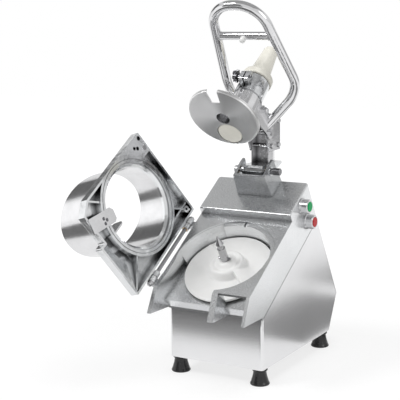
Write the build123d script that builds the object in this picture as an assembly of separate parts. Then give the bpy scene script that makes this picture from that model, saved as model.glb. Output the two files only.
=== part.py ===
from build123d import *
import math
import os

# Driving dimensions, in millimetres and degrees
BODY_WIDTH = 230.0
BODY_DEPTH = 354.0
FOOT_HEIGHT = 36.0
SHEET = 1.5
SLOPE = 31.8
INCLINE_Y = -56.0
INCLINE_Z = 211.0
REAR_NOSE = (397.0, 118.5)
REAR_TOP = (228.0, 411.0)
SEAM_DEPTH = 84.0
HOOD_START = 236.0
HOOD_RISE = 19.0

# The working axis: the spindle, the bowl, the feed tube and the pusher share it
AXIS_X = 4.0
AXIS_V = 107.8
BOWL_RADIUS = 102.5
BOWL_FLOOR = -46.0
SEAT_RADIUS = 113.5
EJECTOR_RADIUS = 100.0
EJECTOR_TOP = -35.0

# The hinged hopper
HOPPER_SWING = 108.9
HINGE_U = -128.5
HINGE_W = 1.6
HINGE_ROD_RADIUS = 4.5
TUBE_INNER = 89.0
TUBE_OUTER = 91.5
FRAME_U = (-119.0, 112.0)
FRAME_V = (-46.0, 235.3)
FRAME_HEIGHT = 21.0

# The lever and the pusher
ARM_PIVOT = (182.0, 437.0)
ARM_SWING = 101.5
PUSHER_TURN = 81.3
PUSHER_HEIGHT = 18.0
HEAD_PIVOT_BACK = 141.0
HEAD_PIVOT_UP = 95.0
PLATE_RADIUS = 80.0
PESTLE_OFFSET = 46.5
PESTLE_RADIUS = 27.9
PESTLE_TUBE_OUTER = 30.6
PESTLE_TUBE_INNER = 28.6
PESTLE_TUBE_LENGTH = 158.0
HANDLE_TUBE_RADIUS = 11.0

HALF_WIDTH = BODY_WIDTH / 2
SIN = math.sin(math.radians(SLOPE))
COS = math.cos(math.radians(SLOPE))
INCLINE = Plane(origin=(0, INCLINE_Y, INCLINE_Z), x_dir=(1, 0, 0), z_dir=(0, -SIN, COS)).location
RUNNING = 0.05

nodes = {}


def to_incline(y, z):
    """Turn a side-view point into distances along and above the sloping bowl plane."""
    across = y - INCLINE_Y
    height = z - INCLINE_Z
    return (across * COS + height * SIN, height * COS - across * SIN)


def from_incline(v, w):
    return (INCLINE_Y + v * COS - w * SIN, INCLINE_Z + v * SIN + w * COS)


def turned_point(point, centre, degrees):
    """Turn a side-view point about another by an angle that carries +Y towards +Z."""
    angle = math.radians(degrees)
    dy = point[0] - centre[0]
    dz = point[1] - centre[1]
    y = centre[0] + dy * math.cos(angle) - dz * math.sin(angle)
    z = centre[1] + dy * math.sin(angle) + dz * math.cos(angle)
    return (y, z)


def block(xs, ys, zs):
    size = (xs[1] - xs[0], ys[1] - ys[0], zs[1] - zs[0])
    return Pos(xs[0], ys[0], zs[0]) * Box(*size, align=(Align.MIN, Align.MIN, Align.MIN))


def rod(radius, low, high, x=0.0, y=0.0):
    return Pos(x, y, low) * Cylinder(radius, high - low, align=(Align.CENTER, Align.CENTER, Align.MIN))


def ring(outer, inner, low, high, x=0.0, y=0.0):
    return rod(outer, low, high, x, y) - rod(inner, low - 1, high + 1, x, y)


def cross_rod(radius, x_low, x_high, y, z):
    """A round bar along X."""
    return Pos(x_low, y, z) * Rot(0, 90, 0) * rod(radius, 0, x_high - x_low)


def cross_ring(outer, inner, x_low, x_high, y, z):
    return cross_rod(outer, x_low, x_high, y, z) - cross_rod(inner, x_low - 1, x_high + 1, y, z)


def side_panel(points, x_low, x_high):
    """A plate whose outline is drawn in the side view and given its width along X."""
    face = make_face(Plane.YZ * Polyline(*points, close=True))
    return Pos(x_low, 0, 0) * extrude(face, amount=x_high - x_low, dir=(1, 0, 0))


def lathe(points):
    """A turned piece about Z from an outline of radius and height."""
    face = make_face(Plane.XZ * Polyline(*points, close=True))
    return revolve(face, Axis.Z)


def hexagon(across_flats, low, high):
    return extrude(Pos(0, 0, low) * RegularPolygon(across_flats / math.sqrt(3), 6), amount=high - low)


def group(pieces):
    """Separate solids that share one node."""
    return Compound([solid for piece in pieces for solid in piece.solids()])


# The closed pusher sits square above the bowl; the arm and head pivots carry it up to rest
closed_plate = from_incline(AXIS_V, PUSHER_HEIGHT)
closed_pivot = from_incline(AXIS_V + HEAD_PIVOT_BACK, PUSHER_HEIGHT + HEAD_PIVOT_UP)
HEAD_PIVOT = turned_point(closed_pivot, ARM_PIVOT, -ARM_SWING)
plate_swung = turned_point(closed_plate, closed_pivot, -PUSHER_TURN)
plate_y = plate_swung[0] - closed_pivot[0] + HEAD_PIVOT[0]
plate_z = plate_swung[1] - closed_pivot[1] + HEAD_PIVOT[1]
PUSHER = Location((AXIS_X, plate_y, plate_z), (SLOPE - PUSHER_TURN, 0, 0))


def hopper_pose(shape):
    """Swing a hopper piece, drawn closed on the bowl plane, to its open rest position."""
    swung = shape.rotate(Axis((HINGE_U, 0, HINGE_W), (0, 1, 0)), -HOPPER_SWING)
    return INCLINE * swung


def seam_height(y):
    """Height of the seam plane, between the sheet box and the casting, at a depth y."""
    return INCLINE_Z + ((y - INCLINE_Y) * SIN - SEAM_DEPTH) / COS


def rear_wall_v(w):
    top = to_incline(*REAR_TOP)
    nose = to_incline(*REAR_NOSE)
    return top[0] + (nose[0] - top[0]) * (top[1] - w) / (top[1] - nose[1])


def rounded_rear(solid, radius, rear_y=200.0):
    """Round the two corner edges that run up the slanted rear wall."""
    edges = solid.edges().filter_by(lambda e: abs(e.tangent_at(0).X) < 0.01)
    edges = edges.filter_by(lambda e: abs(e.tangent_at(0).Z) > 0.3)
    edges = edges.filter_by(lambda e: e.center().Y > rear_y and abs(abs(e.center().X) - HALF_WIDTH) < 6)
    return fillet(edges, radius)


# Base housing: a folded sheet box, open under the sloping casting and over the floor plate
HOUSING_TOP = 430.0
HOUSING_LOW = 10.0
CORNER_RADIUS = 7.0
REAR_SLANT = (REAR_NOSE[0] - REAR_TOP[0]) / (REAR_TOP[1] - REAR_NOSE[1])
REAR_UNDERCUT = (REAR_NOSE[0] - BODY_DEPTH) / (REAR_NOSE[1] - FOOT_HEIGHT)


def housing_form(inset):
    outline = [
        (inset, HOUSING_LOW),
        (inset, HOUSING_TOP),
        (REAR_TOP[0] - (HOUSING_TOP - REAR_TOP[1]) * REAR_SLANT - inset * 1.15, HOUSING_TOP),
        (REAR_NOSE[0] - inset * 1.1, REAR_NOSE[1]),
        (BODY_DEPTH - (FOOT_HEIGHT - HOUSING_LOW) * REAR_UNDERCUT - inset * 1.15, HOUSING_LOW),
    ]
    solid = side_panel(outline, inset - HALF_WIDTH, HALF_WIDTH - inset)
    solid = fillet(solid.edges().filter_by(Axis.Z), CORNER_RADIUS - inset)
    return rounded_rear(solid, CORNER_RADIUS - inset)


above_seam = INCLINE * block((-300, 300), (-400, 700), (-SEAM_DEPTH, 700))
below_floor = block((-300, 300), (-300, 700), (-100, FOOT_HEIGHT))
base_housing = housing_form(0.0) - housing_form(SHEET) - above_seam - below_floor

# A round hole low on the undercut rear panel takes the inlet gland
GLAND_X = 62.0
GLAND_Z = 76.0
gland_y = BODY_DEPTH + (GLAND_Z - FOOT_HEIGHT) * REAR_UNDERCUT
undercut_tilt = math.degrees(math.atan(REAR_UNDERCUT))
GLAND = Location((GLAND_X, gland_y, GLAND_Z), (-90 - undercut_tilt, 0, 0))
GLAND_THREAD = 8.0
base_housing -= GLAND * rod(GLAND_THREAD, -12, 12)

# Cooling slots in the rear wall, in the upper slanted panel
SLOT_COUNT = 7
SLOT_PITCH = 11.0
rear_tilt = math.degrees(math.atan(REAR_SLANT))
rear_mid = (0.0, REAR_NOSE[0] - 75.0 * REAR_SLANT, REAR_NOSE[1] + 75.0)
REAR_PANEL = Location(rear_mid, (-90 + rear_tilt, 0, 0))
slot = extrude(SlotOverall(64, 4), amount=24, both=True)
for index in range(SLOT_COUNT):
    base_housing -= REAR_PANEL * Pos(0, (index - (SLOT_COUNT - 1) / 2) * SLOT_PITCH, 0) * slot
nodes["base_housing"] = base_housing

# Floor plate: a flat sheet with a short upturned rim, held up inside the housing by screws
FLOOR_SHEET = 2.0
FLOOR_GAP = 0.3
floor_slab = block((-300, 300), (-300, 700), (FOOT_HEIGHT, FOOT_HEIGHT + 14.0))
floor_room = block((-300, 300), (-300, 700), (FOOT_HEIGHT + FLOOR_SHEET, 700))
floor_form = housing_form(SHEET + FLOOR_GAP) & floor_slab
floor_plate = floor_form - (housing_form(SHEET + FLOOR_GAP + FLOOR_SHEET) & floor_room)
FOOT_X = 99.0
FOOT_Y = (19.0, 331.0)
foot_places = [(x, y) for x in (-FOOT_X, FOOT_X) for y in FOOT_Y]
FOOT_SCREW = 4.0
for x, y in foot_places:
    floor_plate -= rod(FOOT_SCREW, 0, 80, x, y)
nodes["floor_plate"] = floor_plate

# Four rubber feet, each a flared cone with a collar, and the screws that hold them
foot = lathe(
    [
        (FOOT_SCREW, 0.0),
        (21.0, 0.0),
        (21.5, 3.0),
        (19.0, 7.0),
        (15.5, 20.0),
        (14.0, 30.0),
        (17.0, 32.0),
        (17.0, FOOT_HEIGHT),
        (FOOT_SCREW, FOOT_HEIGHT),
    ]
)
foot -= rod(8.0, -1, 6)
nodes["rubber_feet"] = group([Pos(x, y, 0) * foot for x, y in foot_places])
foot_screw = rod(FOOT_SCREW, 6, FOOT_HEIGHT + 14) + rod(7.5, 2, 6)
nodes["foot_screws"] = group([Pos(x, y, 0) * foot_screw for x, y in foot_places])

# Head casting: the sloping bowl, its spout cheeks, the rib and bridge, and the raised hood
CHEEK_LEFT = -106.0
CHEEK_RIGHT = 107.5
RIB_U = (27.0, 41.0)
LIP_V = 2.0
BRIDGE = 6.0
CHEEK_TIP = to_incline(-82.0, 153.0)
CHEEK_FOOT = to_incline(0.0, 153.0)
FRONT_SEAM = to_incline(0.0, seam_height(0.0))
head_side = [
    CHEEK_TIP,
    CHEEK_FOOT,
    FRONT_SEAM,
    (rear_wall_v(-SEAM_DEPTH), -SEAM_DEPTH),
    (rear_wall_v(HOOD_RISE), HOOD_RISE),
    (HOOD_START, HOOD_RISE - 1.0),
    (HOOD_START, 0.0),
    (-2.0, 0.0),
]
head = side_panel(head_side, -HALF_WIDTH, HALF_WIDTH)
steep = head.edges().filter_by(lambda e: abs(e.tangent_at(0).Z) > 0.9)
head = fillet(steep.filter_by(lambda e: e.center().Y > 300), CORNER_RADIUS)
hood_edges = head.edges().filter_by(lambda e: e.center().Z > HOOD_RISE - 2)
hood_edges = hood_edges.filter_by(lambda e: e.center().Y > HOOD_START - 1)
head = fillet(hood_edges, 3.0)

bowl = rod(BOWL_RADIUS, BOWL_FLOOR, 40, AXIS_X, AXIS_V)
seat = rod(SEAT_RADIUS, -3.0, 40, AXIS_X, AXIS_V)
seat &= block((CHEEK_LEFT, CHEEK_RIGHT), (AXIS_V, 230), (-3, 40))
scoop = Pos(AXIS_X, AXIS_V, BOWL_FLOOR) * Cone(
    BOWL_RADIUS, SEAT_RADIUS, 1.0 - BOWL_FLOOR, align=(Align.CENTER, Align.CENTER, Align.MIN)
)
scoop &= block((-200, AXIS_X - 45), (AXIS_V - 40, AXIS_V + 200), (BOWL_FLOOR, 40))
mouth_side = [
    (AXIS_V, 40.0),
    (AXIS_V, BOWL_FLOOR),
    (LIP_V, BOWL_FLOOR),
    (LIP_V + 2.0, BOWL_FLOOR - 7.0),
    FRONT_SEAM,
    (CHEEK_FOOT[0], -SEAM_DEPTH - 20),
    (-90.0, -SEAM_DEPTH - 20),
    (-90.0, 40.0),
]
mouth_left = side_panel(mouth_side, CHEEK_LEFT, RIB_U[0])
mouth_right = side_panel(mouth_side, RIB_U[1], CHEEK_RIGHT) - block((-200, 200), (-200, 400), (-BRIDGE, 60))
head = head - bowl - seat - scoop - mouth_left - mouth_right
front_of_bridge = block((RIB_U[1], CHEEK_RIGHT), (-90, 0), (-60, 40))
head -= front_of_bridge

# The left cheek leans outwards towards its front edge, as a chute for the cut food
FLARE = 9.5
FLARE_START = 40.0
flare_side = [CHEEK_TIP, CHEEK_FOOT, FRONT_SEAM, (FLARE_START, -SEAM_DEPTH), (FLARE_START, 0), (-2, 0)]


def plan_prism(points):
    """A tall block whose outline is drawn on the bowl plane."""
    return extrude(Pos(0, 0, -200) * make_face(Polyline(*points, close=True)), amount=300)


tip_v = -90.0
wall_root = [(CHEEK_LEFT, FLARE_START), (-HALF_WIDTH, FLARE_START)]
flared_wall = plan_prism(wall_root + [(-HALF_WIDTH - FLARE, tip_v), (CHEEK_LEFT - FLARE, tip_v)])
mouth_root = [(CHEEK_LEFT + 1, FLARE_START), (CHEEK_LEFT, FLARE_START)]
flared_mouth = plan_prism(mouth_root + [(CHEEK_LEFT - FLARE, tip_v), (CHEEK_LEFT + 1, tip_v)])
head += flared_wall & side_panel(flare_side, -140, -100)
head -= flared_mouth & side_panel(mouth_side, -140, -100)

# The cored-out underside leaves the bowl, its wall and the outer skin
SKIN = 6.0
core = block((-HALF_WIDTH + SKIN, HALF_WIDTH - SKIN), (26, 336), (-SEAM_DEPTH - 5, BOWL_FLOOR - SKIN))
wall = rod(SEAT_RADIUS + SKIN, -100, 60, AXIS_X, AXIS_V)
core_back = block((-HALF_WIDTH + SKIN, HALF_WIDTH - SKIN), (150, 336), (BOWL_FLOOR - SKIN, -10)) - wall
core_hood = block((-HALF_WIDTH + SKIN, HALF_WIDTH - SKIN), (244, 336), (-12, HOOD_RISE - 5))
head = head - core - core_back - core_hood

# Four long bosses inside the casting carry the motor plate
BOSS_SPREAD = ((60.0, 215.0), (44.0, 325.0))
MOTOR_BOSSES = [(AXIS_X + side * reach, v) for reach, v in BOSS_SPREAD for side in (-1, 1)]
BOSS_END = -80.0
for u, v in MOTOR_BOSSES:
    boss_root = -8.0 if v < HOOD_START else HOOD_RISE - 4.0
    head += rod(8.0, BOSS_END, boss_root, u, v)

# Round holes in the right cheek for the two push buttons
START_PLACE = (291.1, -2.7)
STOP_PLACE = (293.6, -50.1)
BARREL_RADIUS = 11.0
for v, w in (START_PLACE, STOP_PLACE):
    head -= cross_rod(BARREL_RADIUS, HALF_WIDTH - SKIN - 2, HALF_WIDTH + 2, v, w)

PEDESTAL_SCREWS = [(AXIS_X + side * 27.0, v) for side in (-1, 1) for v in (305.0, 335.0)]
for u, v in PEDESTAL_SCREWS:
    head -= rod(3.0, 0, 40, u, v)

# The spindle hub under the bowl, and the two lugs that hold the hinge rod
HUB_RADIUS = 38.0
SEAL_RADIUS = 16.0
head += rod(HUB_RADIUS, BOWL_FLOOR - 12, BOWL_FLOOR - SKIN, AXIS_X, AXIS_V)
head -= rod(SEAL_RADIUS, BOWL_FLOOR - 20, 0, AXIS_X, AXIS_V)
LUG_RADIUS = 8.0
LUGS_V = ((4.0, 18.5), (191.5, 206.0))


def hinge_bar(radius, low, high):
    return Pos(HINGE_U, low, HINGE_W) * Rot(-90, 0, 0) * rod(radius, 0, high - low)


def hinge_web(reach, low, high, top, bottom):
    """The web that ties a hinge eye to what carries it."""
    return block(reach, (low, high), (bottom, top))


for low, high in LUGS_V:
    lug = hinge_bar(LUG_RADIUS, low, high)
    lug += hinge_web((HINGE_U, -HALF_WIDTH), low, high, -1.0, HINGE_W - LUG_RADIUS)
    lug_low = HINGE_W - LUG_RADIUS
    lug += hinge_web((HINGE_U - 2, -HALF_WIDTH), low, high, lug_low + 1, lug_low - 6)
    head = head + lug - hinge_bar(HINGE_ROD_RADIUS, low - 1, high + 1)
ring_notch = block((AXIS_X + 2, AXIS_X + 6), (AXIS_V + BOWL_RADIUS - 1, AXIS_V + SEAT_RADIUS), (-7, 5))
head -= ring_notch
nodes["head_casting"] = INCLINE * head

# Hinge: one long rod through both lugs of the casting, closed by a cap nut at each end
cap_nut = hexagon(13.0, 0, 6) + fillet(rod(5.8, 5, 10).edges().group_by(Axis.Z)[-1], 3.5)
cap_nut -= rod(HINGE_ROD_RADIUS, -1, 6)
HINGE_LOW = Location((HINGE_U, LUGS_V[0][0], HINGE_W), (90, 0, 0))
HINGE_HIGH = Location((HINGE_U, LUGS_V[1][1], HINGE_W), (-90, 0, 0))
nodes["hinge_rod"] = INCLINE * hinge_bar(HINGE_ROD_RADIUS, LUGS_V[0][0] - 6, LUGS_V[1][1] + 6)
nodes["hinge_nuts"] = group([INCLINE * HINGE_LOW * cap_nut, INCLINE * HINGE_HIGH * cap_nut])

# Hopper frame: a square casting, ribbed underneath, that swings on the hinge rod
FRAME_LOW = 0.4
RIM = 5.0
TOP_PLATE = 4.0
CORNER_CUT_V = 5.0
GAP_U = (18.0, 92.0)
GAP_V = -30.0
COLLAR_OUTER = 111.0
COLLAR_STEP = 98.0
plate_under = FRAME_HEIGHT - TOP_PLATE


def frame_outline(inset, corner):
    """The frame's plan: a square with its free front corner cut off and a gap for the strap."""
    points = [
        (FRAME_U[0], FRAME_V[0]),
        (GAP_U[0], FRAME_V[0]),
        (GAP_U[0], GAP_V),
        (GAP_U[1], GAP_V),
        (FRAME_U[1], CORNER_CUT_V),
        (FRAME_U[1], FRAME_V[1]),
        (FRAME_U[0], FRAME_V[1]),
    ]
    face = offset(make_face(Polyline(*points, close=True)), amount=-inset, kind=Kind.INTERSECTION)
    return fillet(face.vertices(), corner)


hopper = extrude(Pos(0, 0, FRAME_LOW) * frame_outline(0, 3.5), amount=FRAME_HEIGHT - FRAME_LOW)
top_edges = hopper.edges().group_by(Axis.Z)[-1]
hopper = fillet(top_edges, 2.0)
pocket = extrude(Pos(0, 0, FRAME_LOW - 1) * frame_outline(RIM, 2.5), amount=plate_under - FRAME_LOW + 1)
collar = rod(COLLAR_OUTER, FRAME_LOW - 2, plate_under + 1, AXIS_X, AXIS_V)
hopper -= pocket - collar

# Ribs run from the round collar into the corners, and the front pocket has a sloping floor
rib_ends = [(-112.0, -39.0), (-112.0, 227.0), (107.0, 6.0)]
rib_room = pocket - collar
for u, v in rib_ends:
    heading = math.degrees(math.atan2(v - AXIS_V, u - AXIS_X))
    reach = math.hypot(v - AXIS_V, u - AXIS_X)
    bar = block((COLLAR_OUTER - 2, reach), (-2, 2), (3, plate_under + 1))
    hopper += Pos(AXIS_X, AXIS_V, 0) * Rot(0, 0, heading) * bar & rib_room
cross_rib = block((-94, -90), (180, 232), (3, plate_under + 1))
hopper += cross_rib & rib_room
slope_side = [(-42.0, 2.5), (10.0, plate_under), (10.0, plate_under + 1), (-42.0, plate_under + 1)]
hopper += side_panel(slope_side, -118, 14) & rib_room
corner_boss = rod(8.0, FRAME_LOW + 2, plate_under + 1, -103, 218)
hopper = hopper + (corner_boss & rib_room) - rod(3.2, FRAME_LOW - 1, plate_under - 2, -103, 218)

# The free rear corner is closed down to the rim, with a few recesses and the pocket of a magnet
MAGNET = (76.0, 225.0)
MAGNET_RADIUS = 6.5
hopper += block((62, 120), (140, 240), (FRAME_LOW, plate_under + 1)) & rib_room
for u, v, radius in ((101.0, 226.0, 5.0), (88.0, 206.0, 4.5), (94.0, 198.0, 4.0)):
    hopper -= rod(radius, FRAME_LOW - 1, FRAME_LOW + 9, u, v)
hopper -= rod(MAGNET_RADIUS, FRAME_LOW - 1, FRAME_LOW + 5, *MAGNET)

# The throat: a stepped collar below, and a raised neck above that grips the feed cylinder
TUBE_SEAT = 15.0
NECK_TOP = 30.0
neck = Pos(AXIS_X, AXIS_V, 0) * lathe(
    [
        (TUBE_OUTER, FRAME_HEIGHT - 2),
        (99.0, FRAME_HEIGHT - 2),
        (96.0, FRAME_HEIGHT + 3),
        (95.0, NECK_TOP),
        (TUBE_OUTER, NECK_TOP),
    ]
)
hopper += neck
hopper -= rod(TUBE_INNER, -5, 60, AXIS_X, AXIS_V)
hopper -= rod(COLLAR_STEP, -5, 5, AXIS_X, AXIS_V)
countersink = Cone(COLLAR_STEP - 4, TUBE_INNER, 4, align=(Align.CENTER, Align.CENTER, Align.MIN))
hopper -= Pos(AXIS_X, AXIS_V, 5) * countersink
hopper -= rod(TUBE_OUTER, TUBE_SEAT, 60, AXIS_X, AXIS_V)
COLLAR_GROOVE = (103.5, 105.0)
hopper -= ring(COLLAR_GROOVE[1], COLLAR_GROOVE[0], -1, FRAME_LOW + 1.2, AXIS_X, AXIS_V)

# Hinge eyes of the hopper, each lined with a bronze bush
EYES_V = ((20.0, 34.0), (176.0, 190.0))
BUSH_OUTER = 6.0
bushes = []
for low, high in EYES_V:
    eye = hinge_bar(LUG_RADIUS, low, high)
    eye += hinge_web((HINGE_U, FRAME_U[0] + 1), low, high, HINGE_W + LUG_RADIUS, FRAME_LOW)
    hopper = hopper + eye - hinge_bar(BUSH_OUTER, low - 1, high + 1)
    bush = hinge_bar(BUSH_OUTER, low, high) - hinge_bar(HINGE_ROD_RADIUS + RUNNING, low - 1, high + 1)
    bushes.append(bush)

# Interlock strap: a flat plate let into the gap of the cut corner, pointing at the throat
STRAP_LENGTH = 76.0
STRAP_HALF = 17.0
STRAP_SHEET = 3.0
STRAP = Location((65.0, GAP_V, FRAME_LOW), (0, 0, 108.6))
strap_plan = [
    (0, -STRAP_HALF),
    (STRAP_LENGTH - 8, -STRAP_HALF),
    (STRAP_LENGTH, 8 - STRAP_HALF),
    (STRAP_LENGTH, STRAP_HALF - 6),
    (STRAP_LENGTH - 6, STRAP_HALF),
    (0, STRAP_HALF),
]
strap = extrude(make_face(Polyline(*strap_plan, close=True)), amount=STRAP_SHEET)
strap_bed = block((-12, STRAP_LENGTH + 1), (-STRAP_HALF, STRAP_HALF), (-2, STRAP_SHEET))
strap_beam = block((2, 44), (-9, 9), (STRAP_SHEET, plate_under + 1))
hopper = hopper + (STRAP * strap_beam & rib_room) - STRAP * strap_bed
strap_holes = [(40.5, -2.0), (40.5, 9.0), (48.5, 3.5)]
strap_screws = []
screw_cone = Cone(4.0, 2.0, 2.0, align=(Align.CENTER, Align.CENTER, Align.MIN))
for reach, across in strap_holes:
    shank = rod(2.0, 0.6, 12, reach, across)
    screw = shank + Pos(reach, across, 0.2) * screw_cone
    screw -= block((reach - 5, reach + 5), (across - 0.5, across + 0.5), (0, 1.0))
    strap -= rod(2.0, -1, 5, reach, across)
    strap -= Pos(reach, across, 0.2) * screw_cone
    strap -= rod(4.0, -1, 0.2, reach, across)
    hopper -= STRAP * rod(2.0, STRAP_SHEET - 1, 12, reach, across)
    strap_screws.append(STRAP * screw)
nodes["hopper_frame"] = hopper_pose(hopper)
nodes["hinge_bushes"] = group([hopper_pose(bush) for bush in bushes])
nodes["interlock_strap"] = hopper_pose(STRAP * strap)
nodes["strap_screws"] = group([hopper_pose(screw) for screw in strap_screws])
nodes["lid_magnet"] = hopper_pose(rod(MAGNET_RADIUS, FRAME_LOW + 0.3, FRAME_LOW + 5, *MAGNET))

# Feed cylinder: a stainless tube with an oblique mouth, and the fin that stops food from circling
MOUTH_FRONT = (17.0, 165.0)
MOUTH_REAR = (199.0, 75.0)
mouth_slope = (MOUTH_FRONT[1] - MOUTH_REAR[1]) / (MOUTH_REAR[0] - MOUTH_FRONT[0])
above_mouth = side_panel(
    [
        (-20, MOUTH_FRONT[1] + (MOUTH_FRONT[0] + 20) * mouth_slope),
        (240, MOUTH_REAR[1] - (240 - MOUTH_REAR[0]) * mouth_slope),
        (240, 260),
        (-20, 260),
    ],
    -200,
    200,
)
cylinder = ring(TUBE_OUTER, TUBE_INNER, TUBE_SEAT, 200, AXIS_X, AXIS_V) - above_mouth
FIN_SHEET = 4.0
fin_side = [(15, TUBE_SEAT + 1), (52, TUBE_SEAT + 1), (60.8, 22), (57, 42), (22, 72), (15, 72)]
fin = side_panel(fin_side, AXIS_X - FIN_SHEET / 2, AXIS_X + FIN_SHEET / 2)
fin &= rod(TUBE_INNER, 0, 100, AXIS_X, AXIS_V)
nodes["feed_cylinder"] = hopper_pose(cylinder)
nodes["divider_fin"] = hopper_pose(fin)

# Spindle: a stepped shaft with a pointed nose, and a cross pin that drives the cutting disc
SHAFT_RADIUS = 9.0
SHAFT_END = -150.0
NOSE_TIP = 58.7
NOSE_RADIUS = 8.8
NOSE_START = -1.0
HUB_TOP = -9.0
SPINDLE = INCLINE * Location((AXIS_X, AXIS_V, 0))
shaft = lathe(
    [
        (0.0, SHAFT_END),
        (8.0, SHAFT_END),
        (8.0, -118.0),
        (SHAFT_RADIUS, -118.0),
        (SHAFT_RADIUS, NOSE_START),
        (NOSE_RADIUS, NOSE_START),
        (NOSE_RADIUS, 24.0),
        (6.6, 25.5),
        (6.6, 30.0),
        (NOSE_RADIUS - 0.2, 36.0),
        (1.2, NOSE_TIP - 1.0),
        (0.0, NOSE_TIP),
    ]
)
PIN_RADIUS = 2.5
PIN_HEIGHT = -5.5
shaft -= cross_rod(PIN_RADIUS, -20, 20, 0, PIN_HEIGHT)
nodes["spindle_shaft"] = SPINDLE * shaft
nodes["drive_pin"] = SPINDLE * cross_rod(PIN_RADIUS, -15, 15, 0, PIN_HEIGHT)

# Ejector disc: a moulded disc with a stepped hub and two sweeping vanes
HUB_STEP = 40.0
DISC_UNDER = -41.0
disc = lathe(
    [
        (SHAFT_RADIUS, DISC_UNDER),
        (EJECTOR_RADIUS - 1.0, DISC_UNDER),
        (EJECTOR_RADIUS, DISC_UNDER + 1.0),
        (EJECTOR_RADIUS, EJECTOR_TOP - 1.0),
        (EJECTOR_RADIUS - 1.5, EJECTOR_TOP),
        (HUB_STEP + 5.0, EJECTOR_TOP),
        (HUB_STEP + 1.0, EJECTOR_TOP + 2.5),
        (HUB_STEP - 2.0, -19.0),
        (HUB_STEP - 5.0, -15.5),
        (31.0, -15.0),
        (26.0, -17.0),
        (21.0, -13.5),
        (14.0, HUB_TOP),
        (SHAFT_RADIUS, HUB_TOP),
    ]
)
VANE_HEADING = 138.6
VANE_INNER = HUB_STEP - 4.0
VANE_OUTER = EJECTOR_RADIUS - 4.0


def vane_section(reach, rise, spread):
    low, high = EJECTOR_TOP - 1, EJECTOR_TOP + rise
    points = [(0.0, low), (0.0, high), (2.5, high), (spread, low)]
    return Plane.YZ.offset(reach) * make_face(Polyline(*points, close=True))


vane = loft([vane_section(VANE_INNER, 16.0, 34.0), vane_section(VANE_OUTER, 5.0, 22.0)])
for turn in (0, 180):
    disc += Rot(0, 0, VANE_HEADING + turn) * vane
nodes["ejector_disc"] = SPINDLE * disc

# Spindle bearings: a flanged housing bolted under the bowl, two ball bearings and a lip seal
HUB_FACE = BOWL_FLOOR - 12.0
HOUSING_END = -116.0
RACE_OUTER = 20.0
RACE_WIDTH = 12.0
BEARING_SPOTS = (-74.0, -112.0)
BALL_COUNT = 9
BALL_CIRCLE = 14.5
housing_shell = lathe(
    [
        (17.0, HUB_FACE),
        (HUB_RADIUS, HUB_FACE),
        (HUB_RADIUS, HUB_FACE - 7),
        (29.0, HUB_FACE - 8),
        (26.0, HUB_FACE - 16),
        (26.0, HOUSING_END),
        (RACE_OUTER, HOUSING_END),
        (RACE_OUTER, BEARING_SPOTS[1] + RACE_WIDTH),
        (17.0, BEARING_SPOTS[1] + RACE_WIDTH),
        (17.0, BEARING_SPOTS[0]),
        (RACE_OUTER, BEARING_SPOTS[0]),
        (RACE_OUTER, BEARING_SPOTS[0] + RACE_WIDTH),
        (17.0, BEARING_SPOTS[0] + RACE_WIDTH),
    ]
)
outer_rings = [ring(RACE_OUTER, 16.2, spot, spot + RACE_WIDTH) for spot in BEARING_SPOTS]
inner_rings = [ring(12.7, SHAFT_RADIUS, spot, spot + RACE_WIDTH) for spot in BEARING_SPOTS]
ball = Sphere(1.7)
balls = [
    Rot(0, 0, 360 * index / BALL_COUNT) * Pos(BALL_CIRCLE, 0, spot + RACE_WIDTH / 2) * ball
    for spot in BEARING_SPOTS
    for index in range(BALL_COUNT)
]
seal = ring(SEAL_RADIUS, SHAFT_RADIUS + RUNNING, HUB_FACE, BOWL_FLOOR - 1)
nodes["bearing_housing"] = SPINDLE * housing_shell
nodes["bearing_outer_rings"] = group([SPINDLE * piece for piece in outer_rings])
nodes["bearing_inner_rings"] = group([SPINDLE * piece for piece in inner_rings])
nodes["bearing_balls"] = group([SPINDLE * piece for piece in balls])
nodes["spindle_seal"] = SPINDLE * seal

# Belt drive: a large pulley on the spindle, a small one on the motor and the belt around both
MOTOR_V = 275.0
PULLEY_RADIUS = 72.0
MOTOR_PULLEY_RADIUS = 16.0
PULLEY_LOW = -142.0
PULLEY_HIGH = -122.0
FLANGE = 3.0
MOTOR = INCLINE * Location((AXIS_X, MOTOR_V, 0))
MOTOR_SHAFT_RADIUS = 6.0


def pulley(radius, bore):
    return lathe(
        [
            (bore, PULLEY_LOW),
            (radius + FLANGE, PULLEY_LOW),
            (radius + FLANGE, PULLEY_LOW + 2),
            (radius, PULLEY_LOW + FLANGE),
            (radius, PULLEY_HIGH - FLANGE),
            (radius + FLANGE, PULLEY_HIGH - 2),
            (radius + FLANGE, PULLEY_HIGH),
            (bore, PULLEY_HIGH),
        ]
    )


driven_pulley = pulley(PULLEY_RADIUS, 8.0)
for index in range(5):
    driven_pulley -= Rot(0, 0, 72 * index) * rod(15.0, -150, -100, 42)
BELT_GAP = 0.3
BELT_THICKNESS = 4.0
BELT_LOW = PULLEY_LOW + 4
BELT_HEIGHT = 12.0
shaft_distance = MOTOR_V - AXIS_V


def belt_form(grow):
    """The flat outline that wraps both pulleys, grown outwards from their faces."""
    large = PULLEY_RADIUS + grow
    small = MOTOR_PULLEY_RADIUS + grow
    lean = math.asin((large - small) / shaft_distance)
    across, along = math.cos(lean), math.sin(lean)
    points = [
        (-large * across, large * along),
        (-small * across, shaft_distance + small * along),
        (small * across, shaft_distance + small * along),
        (large * across, large * along),
    ]
    face = make_face(Polyline(*points, close=True)) + Circle(large) + Pos(0, shaft_distance) * Circle(small)
    return extrude(Pos(0, 0, BELT_LOW) * face, amount=BELT_HEIGHT)


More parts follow.
